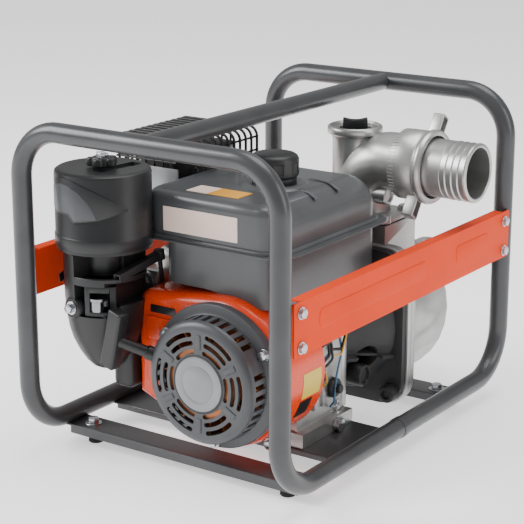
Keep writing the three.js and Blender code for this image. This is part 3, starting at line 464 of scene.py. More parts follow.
def carry_frame():
    joint_y = frame_high.y - 30
    hoop("front_hoop", "front_hoop_tube", front_y, joint_y)
    hoop("rear_hoop", "rear_hoop_tube", back_y, joint_y + 0.3)
    low, high = corners("top_bar")
    path = [(middle_x, front_y + 1, top_z), (middle_x, back_y - 1, top_z)]
    made_for("top_bar", "top_bar_tube", bent_tube(path, [1], (high.x - low.x) / 2, 40))
    for side, x in (("left", middle_x - half_width), ("right", middle_x + half_width)):
        sleeve = turned([(tube + 0.1, 0), (tube + 0.9, 0.8), (tube + 0.9, 11.2),
                         (tube + 0.1, 12)], (x, joint_y - 6, rail_z), Y)
        fixed(f"rail_sleeve_{side}", sleeve, "frame_paint")
    for node in ("front_cross_channel", "rear_cross_channel", "engine_bed"):
        dressed(node, f"{node}_pressing", 0.9, 3)
        low, high = corners(node)
        if node == "engine_bed":
            continue
        for side, x in (("left", low.x + 32), ("right", high.x - 32)):
            bolt = hex_bolt((x, (low.y + high.y) / 2, high.z - 0.4), Z, 13, 6.5, 11, 0.3)
            fixed(f"{node}_bolt_{side}", bolt, "zinc_steel")
    for row in ("front", "rear"):
        for side in ("left", "right"):
            node = f"foot_{row}_{side}"
            low, high = corners(node)
            centre = middle(node)
            height = high.z - low.z
            foot = turned([(0, 0), (9, 0), (10, 1.2), (9.4, 7), (8.2, 9), (8.2, height),
                           (0, height)], (centre.x, centre.y, low.z))
            made_for(node, f"{node}_pad", foot)


def side_plate(side, sign):
    """A flat strip with its top edge folded in, pressed bands and four bolts."""
    low, high = corners(f"{side}_side_plate")
    face, inner = (high.x, low.x) if sign > 0 else (low.x, high.x)
    depth = 2.0
    # The shape's own X and Y become the plate's length and height.
    swing = Matrix(((0, 0, 1, 0), (1, 0, 0, 0), (0, 1, 0, 0), (0, 0, 0, 1)))
    strip = laid(sheet_cut(round_rectangle(low.y, high.y, low.z, high.z, 3, 4), depth), swing)
    moved(strip, (face - depth if sign > 0 else face, 0, 0))
    fold = block(min(inner, face), max(inner, face), low.y + 16, high.y - 16,
                 high.z - depth, high.z)
    plate = rounded(machined(strip, [fold], "UNION"), 0.9, 3)
    made_for(f"{side}_side_plate", f"{side}_plate_pressing", plate, plate_enamel)
    for i, (y0, y1) in enumerate(((low.y + 52, low.y + 300), (high.y - 150, high.y - 60))):
        band = laid(cushion(round_rectangle(y0, y1, low.z + 22, high.z - 18, 8), 0.9, 0.7, 3),
                    swing)
        if sign < 0:
            turned_about(band, (0, (y0 + y1) / 2, 0), Z, math.pi)
        moved(band, (face - 0.15 * sign, 0, 0))
        fixed(f"{side}_plate_band_{i}", band, "orange_paint", plate_enamel)
    for row, y in (("front", low.y + 14), ("rear", high.y - 14)):
        for level, z in (("lower", low.z + 10), ("upper", low.z + 51)):
            bolt = hex_bolt((0, 0, 0), Z, 11, 4.2, 7.5, 0.2 + z)
            # The plate bolts stand 5.5 high, a little flatter than a head on its washer.
            bmesh.ops.scale(bolt, vec=(1, 1, 5.5 / 5.8), verts=bolt.verts[:])
            aimed(bolt, (face, y, z), X * sign)
            if side == "left":
                made_for(f"left_plate_bolt_{row}_{level}", f"left_bolt_{row}_{level}", bolt)
            else:
                fixed(f"right_bolt_{row}_{level}", bolt, "zinc_steel")


# ---- Fuel tank ----------------------------------------------------------------------------
def fuel_tank():
    low, high = corners("fuel_tank_upper")
    seam = low.z
    x0, x1, y0, y1 = low.x + 14, high.x - 14, low.y + 8, high.y - 8
    rise = tank_top - seam
    shell = cushion(round_rectangle(x0, x1, y0, y1, 32, 10), rise, 13, 6)
    soft = cushion(round_rectangle(x0 - 60, x1, y0 - 60, y1, 40, 10), rise, 39, 10)
    cap = middle("fuel_cap")
    canister = middle("air_cleaner_canister")
    room = rod(64, 300, (canister.x, canister.y, 100), Z, 64)
    shell = machined(shell, [soft], "INTERSECT")
    shell = machined(shell, [room.copy()])
    neck = turned([(0, -8), (47, -8), (45, 0), (40, 3.4), (34, 4.2), (30, 2.2), (27, 2.0),
                   (22, 3), (22, 8), (0, 8)], (cap.x, cap.y, tank_top))
    ridges = [bent_tube([(cap.x + 20, cap.y + 8 + dy, tank_top - 0.6),
                         (x1 - 26, cap.y + dy, tank_top - 0.8),
                         (x1 - 12, cap.y + dy - 2, tank_top - 7)], [14], 2.2, 12, 5)
              for dy in (-10, 42)]
    flange = sheet_cut(round_rectangle(low.x, high.x, low.y, high.y, 34, 10), 2)
    moved(flange, (0, 0, 0.2))
    flange = machined(flange, [room.copy()])
    rounded(flange, 0.6, 2, 50)
    fillet = cushion(round_rectangle(x0 - 4, x1 + 4, y0 - 4, y1 + 4, 36, 10), 6, 3.8, 5)
    fillet = machined(fillet, [room.copy()])
    moved(fillet, (0, 0, 1))
    upper = joined(shell, flange, fillet)
    moved(upper, (0, 0, seam))
    upper = joined(upper, neck, *ridges)
    made_for("fuel_tank_upper", "tank_top_shell", upper, smooth=40)

    low, high = corners("fuel_tank_lower")
    depth = high.z - low.z - 13
    tank_x = (low.x + high.x) / 2
    left, right = tank_x - 72, tank_x + 98
    deep = high.z - low.z
    sag = [(left - 2, -1), (right + 2, -1), (right + 2, deep)]
    for i in range(17):
        share = i / 16
        ease = share * share * (3 - 2 * share)
        sag.append((right - 22 - 84 * share, deep - (deep - depth) * ease))
    sag.append((left - 2, depth))
    belly = sheet_cut(sag, y1 - y0 + 4)
    laid(belly, Matrix.Rotation(math.pi / 2, 4, "X"))
    moved(belly, (0, -y0 + 2, 0))
    shell = sheet_cut(round_rectangle(left, right, -y1, -y0, 26, 10), deep + 4)
    shell = machined(shell, [belly], "INTERSECT")
    foot_rim = [e for e in shell.edges if all(v.co.z > depth - 0.5 for v in e.verts)
                and len(e.link_faces) == 2 and e.calc_face_angle(0) > 1.0]
    bevelled(shell, foot_rim, 9, 5)
    flange = sheet_cut(round_rectangle(low.x, high.x, -high.y, -low.y, 34, 10), 2)
    skirt = cushion(round_rectangle(left - 26, right + 5, -y1 - 3, -y0 + 3, 32, 10), 17, 14, 6)
    lower = joined(shell, flange, skirt)
    turned_about(lower, (0, 0, 0), X, math.pi)
    moved(lower, (0, 0, high.z))
    lower = machined(lower, [room])
    made_for("fuel_tank_lower", "tank_bottom_shell", lower, smooth=40)
    tank_labels(x0, y0, seam, cap)


def tank_labels(x0, y0, seam, cap):
    """Plain printed fields on the tank's front and top, with no wording."""
    front = cushion(round_rectangle(x0 + 38, x0 + 150, seam + 12, seam + 43, 1, 2), 0.5, 0.2, 1)
    aimed(front, (0, y0 - 0.05, 0), -Y)
    fixed("tank_front_label", front, "tank_paint", pale_label)
    for name, a, b, paint in (("pale", -70, -38, pale_label), ("amber", -38, 8, amber_label)):
        field = cushion(round_rectangle(cap.x + a, cap.x + b, cap.y - 90, cap.y - 58, 0.8, 2),
                        0.5, 0.2, 1)
        moved(field, (0, 0, tank_top + 0.1))
        fixed(f"tank_top_label_{name}", field, "tank_paint", paint)


def fuel_cap():
    low, high = corners("fuel_cap")
    centre = middle("fuel_cap")
    height = high.z - low.z
    body = turned([(22.4, 0), (27.5, 0), (28, 1), (28, 10), (30, 12), (31, 14),
                   (31, height - 7), (29.5, height - 3.5), (26, height - 1), (21, height),
                   (0, height), (0, 12), (22.4, 12)], (centre.x, centre.y, low.z), Z, 72)
    grips = []
    for i in range(8):
        grip = block(29.2, 36, -6.5, 6.5, 15, height - 9, 1.5, 3)
        turned_about(grip, (0, 0, 0), Z, FULL * i / 8)
        grips.append(moved(grip, (centre.x, centre.y, low.z)))
    cap = machined(body, [joined(*grips)])
    made_for("fuel_cap", "fuel_cap_moulding", cap, smooth=40)


# ---- Air cleaner --------------------------------------------------------------------------
def air_cleaner():
    low, high = corners("air_cleaner_canister")
    centre = middle("air_cleaner_canister")
    height = high.z - low.z
    foot = (centre.x, centre.y, low.z)
    outer = turned([(57, 0), (60.4, 0), (61, 0.8), (61, 14), (60.4, 15.4), (60, 16),
                    (60, height - 6), (59, height - 2.4), (56, height - 0.4), (53, height),
                    (44, height - 1.2), (0, height - 1.2), (0, height - 9), (54, height - 9),
                    (57, height - 12)], foot, Z, 96)
    bar = block(3, 21, -20, 46, height - 7, height + 4, 2, 3)
    turned_about(bar, (0, 0, 0), Z, math.radians(-9))
    canister = machined(outer, [moved(bar, foot)])
    made_for("air_cleaner_canister", "canister_moulding", canister, smooth=40)
    swoosh_panel(centre, low.z)
    lid_knob(centre, high.z)
    cleaner_body()


def wrapped(bm, radius, heading):
    """Bends a flat shape, drawn along X and up Y, round an upright cylinder."""
    low = min(v.co.x for v in bm.verts)
    high = max(v.co.x for v in bm.verts)
    at = low + 2
    while at < high:
        bmesh.ops.bisect_plane(bm, geom=bm.verts[:] + bm.edges[:] + bm.faces[:],
                               plane_co=(at, 0, 0), plane_no=X, dist=0.01)
        at += 2.5
    for v in bm.verts:
        along, up, out = v.co
        angle = heading + along / radius
        v.co = Vector(((radius + out) * math.cos(angle), (radius + out) * math.sin(angle), up))
    bmesh.ops.recalc_face_normals(bm, faces=bm.faces[:])
    return bm


def swoosh_panel(centre, bottom):
    """A raised curved panel on the canister's front, with a paler field inside it."""
    outer = [(-76, 50), (-63, 45), (-41, 44), (-33, 36), (-1, 41), (38, 52), (14, 67),
             (-9, 79), (-30, 87), (-50, 90), (-68, 86), (-76, 76)]
    inner = [(-68, 50), (-60, 47), (-38, 47), (-31, 38.5), (-2, 42.5), (-6, 53), (-13, 64),
             (-25, 75), (-38, 81), (-52, 83), (-68, 80)]
    for name, outline, height, paint in (("rim", outer, 1.4, black_plastic),
                                         ("field", inner, 1.9, grey_plastic)):
        panel = sheet_cut(outline, height)
        panel = rounded(panel, 0.6, 2, 50)
        wrapped(panel, 59.9, math.radians(-56))
        moved(panel, (centre.x, centre.y, bottom))
        fixed(f"canister_panel_{name}", panel, "black_plastic", paint)


def lid_knob(centre, top):
    hub = turned([(0, 0), (13, 0), (14.5, 1.5), (14.5, 9), (12, 12), (6, 13), (0, 13)],
                 (0, 0, 0), Z, 48)
    lobes = [hub]
    for i in range(5):
        angle = FULL * i / 5
        lobes.append(turned([(0, 1), (5.5, 1), (7, 2.5), (7, 9), (5.5, 11), (0, 11.5)],
                            (13 * math.cos(angle), 13 * math.sin(angle), 0), Z, 24))
    stud = rod(3.2, 20, (0, 0, -2), Z, 20, 0.5)
    wing = block(-9, 9, -1.6, 1.6, 13, 17.6, 1.2, 2)
    knob = joined(*lobes)
    moved(knob, (centre.x, centre.y, top + 0.3))
    made_for("air_cleaner_knob", "lid_knob_moulding", knob, smooth=40)
    nut = joined(stud, wing, rod(6.2, 3.6, (0, 0, 12.4), Z, 6))
    moved(nut, (centre.x, centre.y, top + 0.3))
    placed("lid_wing_nut", nut, "air_cleaner_knob", zinc_steel)


def sector(inner, outer, start, stop, bottom, top):
    """A slice of a ring between two headings, in degrees."""
    outline = (arc((0, 0), outer, start, stop, 14) + arc((0, 0), inner, stop, start, 14))
    return moved(sheet_cut(outline, top - bottom), (0, 0, bottom))


def cleaner_body():
    """The moulded elbow under the canister: a bowl, a recess for the levers and a duct."""
    shroud_left = corners("fan_shroud")[0].x
    centre = middle("air_cleaner_canister")
    top, bottom = corners("air_cleaner_body")[1].z, 112
    bowl = turned([(0, bottom), (10, bottom + 1), (18, bottom + 5), (26, bottom + 13),
                   (35, bottom + 27), (42, bottom + 42), (46.5, bottom + 57),
                   (49, bottom + 74), (51, bottom + 96), (52, top - 8), (56, top - 5),
                   (59, top - 4), (59, top), (0, top)], (centre.x, centre.y, 0), Z, 80)
    duct = block(centre.x, shroud_left - 0.6, centre.y + 8, centre.y + 60, 84, 214, 9, 4)
    body = machined(bowl, [duct], "UNION")
    recess_upper = sector(26, 90, -98, -4, 238, top - 5)
    recess_lower = sector(30, 90, -98, -30, 191, 231)
    rooms = [moved(tool, (centre.x, centre.y, 0)) for tool in (recess_upper, recess_lower)]
    lever = middle("throttle_lever")
    lever_room = block(lever.x - 12, lever.x + 40, centre.y - 80, centre.y + 80, 206, top - 6)
    body = machined(body, [joined(*rooms), lever_room])
    dish = turned([(25, 234), (49, 234), (51.6, 236), (51.6, 240), (50.6, 241), (48, 239.4),
                   (36, 238), (25, 238)], (centre.x, centre.y, 0), Z, 80)
    collar = sector(29, 47, -84, -34, 192, 230)
    window = sector(20, 60, -75, -45, 198, 222)
    collar = rounded(machined(collar, [window]), 1.2, 2, 40)
    body = joined(body, dish, moved(collar, (centre.x, centre.y, 0)))
    made_for("air_cleaner_body", "cleaner_elbow_moulding", body, smooth=38)
    outward = Vector((-0.1, -0.99, 0.05))
    boss = turned([(0, -6), (14, -6), (14, 3), (12, 6), (0, 6)],
                  (centre.x - 12, centre.y - 45, 200), outward, 40)
    fixed("cleaner_boss", boss, "black_plastic")
    bolt = hex_bolt(Vector((centre.x - 12, centre.y - 45, 200)) + outward * 5.8, outward, 11,
                    6, 8.5)
    fixed("cleaner_bolt", bolt, "zinc_steel")
    cup = turned([(0, 0), (6, 0), (8.4, 1.5), (9, 4), (9, 14), (10.6, 15), (10.6, 18.5),
                  (0, 18.5)], (centre.x + 20, centre.y - 39, 198), Z, 48)
    fixed("fuel_strainer_cup", cup, "zinc_steel", bright_plate)
    strip = cushion(round_rectangle(-5.5, 5.5, -27, 27, 1, 3), 1.4, 0.5, 2)
    strip = aimed(strip, (0, 0, 0), (-0.985, -0.17, 0))
    moved(strip, (centre.x - 49.6, centre.y - 8, top - 42))
    fixed("cleaner_side_label", strip, "black_plastic", black_label)


# ---- Engine -------------------------------------------------------------------------------
def engine_shroud():
    """The blower housing: a shell with a wide soft front edge, pressed steps and a fan mouth."""
    low, high = corners("fan_shroud")
    radius, corner, foot_z, shoulder_z = 95.5, 22, -50, 86
    left = low.x - crank.x
    # Both straight sides leave the round part where they just touch it.
    foot_angle = math.degrees(math.atan2(foot_z, left)
                              + math.acos(radius / math.hypot(left, foot_z))) % 360
    shoulder_angle = math.degrees(math.atan2(shoulder_z, left + 10)
                                  - math.acos(radius / math.hypot(left + 10, shoulder_z)))
    outline = (arc((0, 0), radius, foot_angle - 360, shoulder_angle, 60)
               + arc((left + corner, shoulder_z - 20), corner, 88, 180, 10)
               + [(left, foot_z)])
    depth = high.y - low.y
    shell = cushion(outline, depth, 14, 8)
    hollow = cushion([(x * 0.965, z * 0.965) for x, z in outline], depth - 2.6, 12, 6)
    moved(hollow, (0, 0, -0.2))
    mouth = rod(77, 60, (0, 0, depth - 30), Z, 72)
    shell = machined(shell, [hollow, mouth])
    steps = []
    for x0, x1, z0, z1, rise in ((-112, -74, 26, 56, 3.4), (-113, -84, 0, 27, 2.6),
                                 (-114, -90, -30, 1, 1.8)):
        steps.append(moved(cushion(round_rectangle(x0, x1, z0, z1, 4, 4), rise, 1.6, 4),
                           (0, 0, depth - 0.6)))
    shell = joined(shell, *steps)
    # The shape's +Z faces the front, -Y, and its own Y stands up.
    stand = Matrix(((1, 0, 0, crank.x), (0, 0, -1, high.y), (0, 1, 0, crank.z), (0, 0, 0, 1)))
    laid(shell, stand)
    made_for("fan_shroud", "blower_housing", shell, smooth=40)
    plate = cushion(round_rectangle(-106, -68, 61, 71, 1.5, 3), 1.0, 0.5, 2)
    laid(plate, stand @ Matrix.Translation((0, 0, depth)))
    fixed("housing_label", plate, "black_plastic", black_label)
    tab_at = stand @ Matrix.Translation((59, -83, depth - 24))
    tab = cushion(round_rectangle(-10, 10, -11, 16, 7, 5), 3, 1, 2)
    laid(tab, tab_at)
    fixed("housing_tab", tab, "orange_paint")
    bolt = hex_bolt(tab_at @ Vector((0, -1, 3)), -Y, 10, 5, 7.5, 0.3)
    fixed("housing_tab_bolt", bolt, "zinc_steel")
    band_labels(high.y - 34, radius)


def band_labels(y, radius):
    """Plain fields on the housing's right-hand band."""
    for name, start, stop, width, paint in (("yellow", -16, 4, 40, yellow_label),
                                            ("black", -33, -18, 26, black_label)):
        strip = bmesh.new()
        a = math.radians(start)
        ends = [strip.verts.new((crank.x + (radius + 0.25) * math.cos(a), y - 14 + s * width,
                                 crank.z + (radius + 0.25) * math.sin(a))) for s in (0, 1)]
        edge = strip.edges.new(ends)
        bmesh.ops.spin(strip, geom=ends + [edge], cent=(crank.x, 0, crank.z), axis=-Y,
                       dvec=(0, 0, 0), angle=math.radians(stop - start), steps=10,
                       use_duplicate=False)
        bmesh.ops.recalc_face_normals(strip, faces=strip.faces[:])
        bmesh.ops.solidify(strip, geom=strip.faces[:], thickness=-0.3)
        bmesh.ops.recalc_face_normals(strip, faces=strip.faces[:])
        fixed(f"housing_field_{name}", strip, "orange_paint", paint)


def recoil_starter():
    low, high = corners("recoil_cover")
    depth = high.y - low.y
    face = low.y
    shell = turned([(0, 0), (66, 0), (71, 0.8), (75, 3), (77.4, 6.5), (78, 10),
                    (78.4, depth - 13), (80, depth - 12), (90, depth - 11), (91, depth - 10),
                    (91, depth), (75, depth), (75, 11), (73.5, 7), (70, 4), (66, 3), (0, 3)],
                   (crank.x, face, crank.z), Y, 120)
    slots = joined(*[moved(sheet_cut(curved_slot(line, 2.9, 60 * group, 36), 12), (0, 0, -6))
                     for group in range(6) for line in (41, 51, 61.5)])
    turned_about(slots, (0, 0, 0), X, math.radians(-90))
    moved(slots, (crank.x, face, crank.z))
    bars, bar_count = [], 38
    for i in range(bar_count):
        angle = FULL * i / bar_count
        # The band has no slots beside the three bolts.
        if any(abs((math.degrees(angle) - a + 180) % 360 - 180) < 11 for a in (60, 180, 300)):
            continue
        slot = block(-3.4, 3.4, face + 9, face + 29, 70, 84)
        turned_about(slot, (0, 0, 0), Y, angle)
        bars.append(moved(slot, (crank.x, 0, crank.z)))
    shell = machined(shell, [slots, joined(*bars)])
    made_for("recoil_cover", "starter_cover", shell, smooth=38)
    for i in range(6):
        angle = math.radians(60 * i)
        rib = block(-3.6, 3.6, -1.2, 1.0, 44, 62, 1.1, 4)
        turned_about(rib, (0, 0, 0), Y, angle)
        moved(rib, (crank.x, face, crank.z))
        fixed(f"starter_rib_{i}", rib, "grey_plastic")
    blades = [turned([(50, -7), (72.5, -7), (72.5, -4.6), (50, -4.6)], (0, 0, 0), Y, 96)]
    blade_count = 20
    for i in range(blade_count):
        blade = block(51, 72.5, -1.1, 1.1, -30, -5, 0.5, 1)
        laid(blade, Matrix.Rotation(math.pi / 2, 4, "X"))
        turned_about(blade, (0, 0, 0), Y, FULL * i / blade_count)
        blades.append(moved(blade, (0, -37, 0)))
    fan = moved(joined(*blades), (crank.x, corners("flywheel_fan")[0].y + 2, crank.z))
    placed("starter_fan_ring", fan, "crank_train", copper_primer)
    badge = turned([(0, 4), (34.5, 4), (34.5, -0.4), (34, -1.2), (33, -1.6), (24, -1.7),
                    (23, -1.2), (22, -1.7), (0, -1.9)],
                   (crank.x, face, crank.z), Y, 96)
    # A thin black ring round the badge, a hair proud of the cover: painted shade for the dark gap of the groove
    # there.
    shade_ring = turned([(34.6, 0.5), (37.2, 0.5), (37.2, -0.15), (34.6, -0.15)],
                    (crank.x, face, crank.z), Y, 96)
    fixed("starter_badge_painted_shade_ring", shade_ring, "grey_plastic", black_plastic)
    fixed("starter_badge", badge, "grey_plastic", badge_silver)
    bolt_circle = 84.5
    for i, angle in enumerate((30, 150, 270)):
        a = math.radians(angle)
        at = (crank.x + bolt_circle * math.cos(a), high.y - 11.5,
              crank.z + bolt_circle * math.sin(a))
        fixed(f"starter_bolt_{i}", hex_bolt(at, -Y, 10, 6, 7.5, 0.4), "zinc_steel")


def starter_grip():
    """A T-shaped grip on a smooth sleeve, with a collar where the rope leaves the cover."""
    pull = next(j for j in frame["joints"] if j["name"] == "recoil_pull")
    along = Vector(pull["axis"]).normalized()
    rope_exit = Vector((crank.x - 76, -242.8, 148))
    sleeve = turned([(0, -4), (8.6, -4), (9, -3), (9, 10), (8.4, 11), (7.2, 12), (6.9, 40),
                     (8.5, 48), (0, 48)], rope_exit, along, 40)
    grip = sheet_cut(round_rectangle(-13, 9, -38.5, 38.5, 3, 5), 17)
    rounded(grip, 3.2, 4, 40)
    moved(grip, (0, 0, -8.5))
    turned_about(grip, (0, 0, 0), X, math.radians(90))
    turned_about(grip, (0, 0, 0), Y, math.radians(14))
    turned_about(grip, (0, 0, 0), Z, math.radians(-8))
    moved(grip, rope_exit + along * 52)
    made_for("recoil_handle", "starter_grip_moulding", joined(sleeve, grip), smooth=40)


def engine_details():
    base_low, base_high = corners("crankcase")
    dressed("crankcase", "crankcase_casting", 1.6, 3)
    dressed("crankcase_cover", "crankcase_cover_casting", 1.0)
    for node in ("cylinder", "cylinder_head", "rocker_cover", "carburettor", "switch_box",
                 "ignition_switch", "oil_drain_bolt", "spark_plug", "choke_lever",
                 "fuel_valve_lever"):
        dressed(node, f"{node}_finished", 0.6)
    low, high = corners("oil_filler_cap")
    centre = middle("oil_filler_cap")
    span = high.x - low.x
    cap = turned([(0, 0), (10.5, 0), (10.5, 14), (12.4, 14.3), (13, 15), (13, 18), (12, 19.4),
                  (7, 20), (6, 21), (6, span - 1), (5, span), (0, span)],
                 (low.x, centre.y, centre.z), X, 48)
    made_for("oil_filler_cap", "oil_cap_moulding", cap)
    slab_top = base_low.z + 18.5
    edge = base_high.x
    for i, (y, dx) in enumerate(((base_low.y + 14, -22), (base_high.y - 20, -14))):
        stud = joined(hex_bolt((edge + dx, y, slab_top), Z, 12, 8, 9, 0.4),
                      rod(4, 16, (edge + dx, y, slab_top), Z, 20, 0.6))
        fixed(f"base_stud_{i}", stud, "zinc_steel")
    for i, z in enumerate((150, 172)):
        boss = turned([(0, 0), (9, 0), (9, 7), (7.6, 8.2), (5, 8.4), (0, 8.4)],
                      (crank.x + 50, -22, z), (0.94, 0.1, 0.1), 32)
        fixed(f"crankcase_boss_{i}", boss, "cast_aluminium")
    ribs = [block(crank.x + 61, crank.x + 65, y - 2, y + 2, 60, 130, 1.2, 2)
            for y in (-120, -100, -80)]
    fixed("crankcase_ribs", joined(*ribs), "cast_aluminium")
    wires()


def wires():
    """Short loops of covered wire at the crankcase's right-hand side."""
    start = Vector((crank.x + 64, -92, 128))
    loop = [(0, -6, -16), (4, -14, -2), (6, -8, 24), (6, 14, 24), (6, 18, 0), (4, 2, -8),
            (0, -4, 6)]
    tail = [(0, 0, 30), (8, 10, 44), (10, 34, 46), (9, 54, 26), (8, 44, 2), (2, 30, 4)]
    hook = [(2, -18, -12), (8, -4, -16), (8, 6, -18), (6, 12, -34), (0, 10, -42)]
    drop = [(0, 46, 26), (7, 46, 0), (4, 38, -34), (6, 30, -66), (0, 30, -74)]
    runs = (("black_loop", black_wire, 2.0, loop, (0, 0, 0)),
            ("black_loop_b", black_wire, 1.7, loop, (3, 3, -5)),
            ("blue_loop", blue_wire, 1.3, loop, (-1, 2, 3)),
            ("black_tail", black_wire, 2.0, tail, (0, 0, 0)),
            ("yellow_tail", yellow_wire, 1.2, tail, (2, -4, -6)),
            ("yellow_hook", yellow_wire, 1.3, hook, (0, 0, 0)),
            ("black_hook", black_wire, 2.3, hook, (-2, -2, 5)),
            ("blue_drop", blue_wire, 1.4, drop, (0, 0, 0)))
    for name, cover, radius, offsets, shift in runs:
        path = [start + Vector(o) + Vector(shift) for o in offsets]
        fixed(f"wire_{name}", bent_tube(path, [5], radius, 12, 6), "black_plastic", cover)


def throttle():
    dressed("throttle_lever", "throttle_lever_pressing", 0.4, 2, painted_iron)


# ---- Muffler ------------------------------------------------------------------------------
def muffler():
    low, high = corners("muffler")
    can_width, can_foot = 80, 270
    outline = round_rectangle(low.x, low.x + can_width, low.y, high.y, 20, 8)
    can = moved(cushion(outline, 88, 9, 5), (0, 0, can_foot))
    foot = cushion(outline, 6, 3, 3)
    turned_about(foot, (low.x + can_width / 2, (low.y + high.y) / 2, 0), X, math.pi)
    moved(foot, (0, 0, can_foot + 1))
    shield = block(low.x + 2, high.x, low.y + 4, high.y - 4, 357, 367, 4, 4)
    pipe_x = middle("muffler").x + 45.5
    outlet = bent_tube([(pipe_x, low.y + 70, 198), (pipe_x, high.y - 4, 198),
                        (pipe_x - 24, high.y - 4, 240), (pipe_x - 24, high.y - 4, 274)], [12],
                       10, 24, 6)
    made_for("muffler", "muffler_can", joined(can, foot, shield, outlet), black_wirework)
    low, high = corners("muffler_guard")
    wire, cross = 1.9, 1.6
    left, right = low.x + wire, high.x + 1
    front, rear = low.y + wire, high.y + 4
    top, shelf, foot = high.z - wire, 346, low.z
    arches, arch_count = [], 11
    for i in range(arch_count):
        y = front + (rear - front) * i / (arch_count - 1)
        arches.append(bent_tube([(left, y, foot), (left, y, top), (right, y, top),
                                 (right, y, shelf)], [13], wire, 10, 5))
    # Straight wires as pairs of ends: over the top, down each long side, then at each end.
    runs = [((left + 14 + 15.5 * i, front - 3, top - 3), (left + 14 + 15.5 * i, rear + 5, top - 3))
            for i in range(7)]
    runs += [((left - 2, front - 3, foot + up), (left - 2, rear + 5, foot + up))
             for up in (9, 32, 55, 78)]
    runs += [((right - 3, front - 3, top - down), (right - 3, rear + 6, top - down))
             for down in (14, 32)]
    for y in (front, rear):
        runs += [((left - 1, y, foot + up), (left + 94, y, foot + up)) for up in (32, 55, 78)]
        runs += [((left + 14.5 * i, y, foot), (left + 14.5 * i, y, top - 1))
                 for i in range(1, 7)]
    rails = [bent_tube(ends, [1], cross, 8) for ends in runs]
    made_for("muffler_guard", "muffler_guard_wirework", joined(*arches, *rails),
             black_wirework, 60)


def heat_shield():
    """A grey sheet standing between the air cleaner and the muffler."""
    low = corners("muffler_guard")[0]
    shield = block(low.x + 34, low.x + 104, low.y - 6, low.y - 4, 282, 346, 0.6, 2)
    fixed("heat_shield", shield, "tank_paint", aluminised_sheet)


# ---- Pump ---------------------------------------------------------------------------------
def pump_end():
    low, high = corners("pump_bracket")
    dressed("pump_bracket", "bracket_casting", 1.2)
    port = turned([(0, -20), (15, -20), (15, 9), (13.6, 11), (11, 11), (10, 8), (0, 8)],
                  (crank.x + 62, 8, crank.z - 52), X, 40)
    fixed("bracket_port", port, "black_plastic")
    for i in range(8):
        web = sheet_cut([(40, low.y + 10), (58, low.y + 10), (94, high.y - 4),
                         (40, high.y - 4)], 4)
        rounded(web, 1, 2)
        turned_about(moved(web, (0, 0, -2)), (0, 0, 0), Y, math.radians(22.5 + 45 * i))
        fixed(f"bracket_web_{i}", moved(web, (crank.x, 0, crank.z)), "dark_cast")
    for i, (dx, dz) in enumerate(((85, -87), (85, 87), (-85, -87), (-85, 87))):
        boss = turned([(0, 3), (5.5, 3), (6.5, 0), (10, 0), (11.5, 1.5), (12.5, 20), (0, 20)],
                      (crank.x + dx, high.y - 24, crank.z + dz), Y, 36)
        fixed(f"bracket_boss_{i}", boss, "dark_cast")
    dressed("pump_back_plate", "back_plate_casting", 1.0, 3, cast_aluminium)
    low = corners("pump_casing")[0]
    dressed("pump_casing", "casing_casting", 2.2, 3)
    for i, angle in enumerate((45, 135, 225, 315)):
        a = math.radians(angle)
        at = (crank.x + 93 * math.cos(a), low.y + 8.6, crank.z + 96 * math.sin(a))
        fixed(f"casing_bolt_{i}", hex_bolt(at, Y, 12, 7, 9, 0.2), "zinc_steel")
    dressed("pump_drain_plug", "drain_plug_casting", 0.9)


def outlet():
    low, high = corners("outlet_elbow")
    centre_y = (low.y + high.y) / 2
    axis_z = 341
    flange_z = low.z
    foot = (crank.x, centre_y, flange_z)
    sheet = cushion(round_rectangle(crank.x - 60, crank.x + 60, centre_y - 40, centre_y + 40,
                                    12, 6), 6.5, 1.5, 3)
    moved(sheet, (0, 0, flange_z))
    path = [foot, (crank.x, centre_y, axis_z), (high.x, centre_y, axis_z)]
    elbow = bent_tube(path, [47], 39, 72, 16)
    hollow = bent_tube([(foot[0], foot[1], foot[2] - 4), path[1],
                        (high.x + 4, centre_y, axis_z)], [47], 33, 64, 16)
    neck_x = crank.x - 13
    neck = turned([(0, 288), (30, 288), (30, 366), (31.5, 371), (36, 373.6), (37, 375),
                   (37, 381), (36, 383), (34.4, 384), (32.4, 384), (31.6, 381), (28, 380.2),
                   (21, 380), (21, 300), (0, 300)], (neck_x, centre_y, 0), Z, 80)
    boss = turned([(0, 20), (13, 20), (13, 49), (11.8, 50.5), (9, 50.5), (8, 48.5), (0, 48.5)],
                  (crank.x, centre_y - 14, 298), X, 48)
    ears = [turned([(0, 0), (11, 0), (11, 9), (9, 12), (0, 12)],
                   (crank.x + dx, centre_y + dy, flange_z), Z, 32)
            for dx in (-50, 50) for dy in (-30, 30)]
    casting = machined(machined(elbow, [sheet], "UNION"), [neck], "UNION")
    casting = machined(casting, [hollow])
    casting = joined(casting, boss, *ears)
    made_for("outlet_elbow", "outlet_casting", casting, smooth=38)
    centre = middle("filler_plug")
    disc = turned([(0, -14), (19.6, -14), (19.6, -2), (18.4, -0.6), (0, -0.6)],
                  (centre.x, centre.y, 380), Z, 64)
    wing = block(-16.5, 16.5, -6.5, 6.5, 378, 393, 1.4, 3)
    scoop = rod(42, 30, (0, -15, 432.4), Y, 64)
    wing = machined(wing, [scoop])
    turned_about(wing, (0, 0, 0), Z, math.radians(32))
    plug = machined(disc, [moved(wing, (centre.x, centre.y, 0))], "UNION")
    made_for("filler_plug", "filler_plug_moulding", plug, smooth=40)


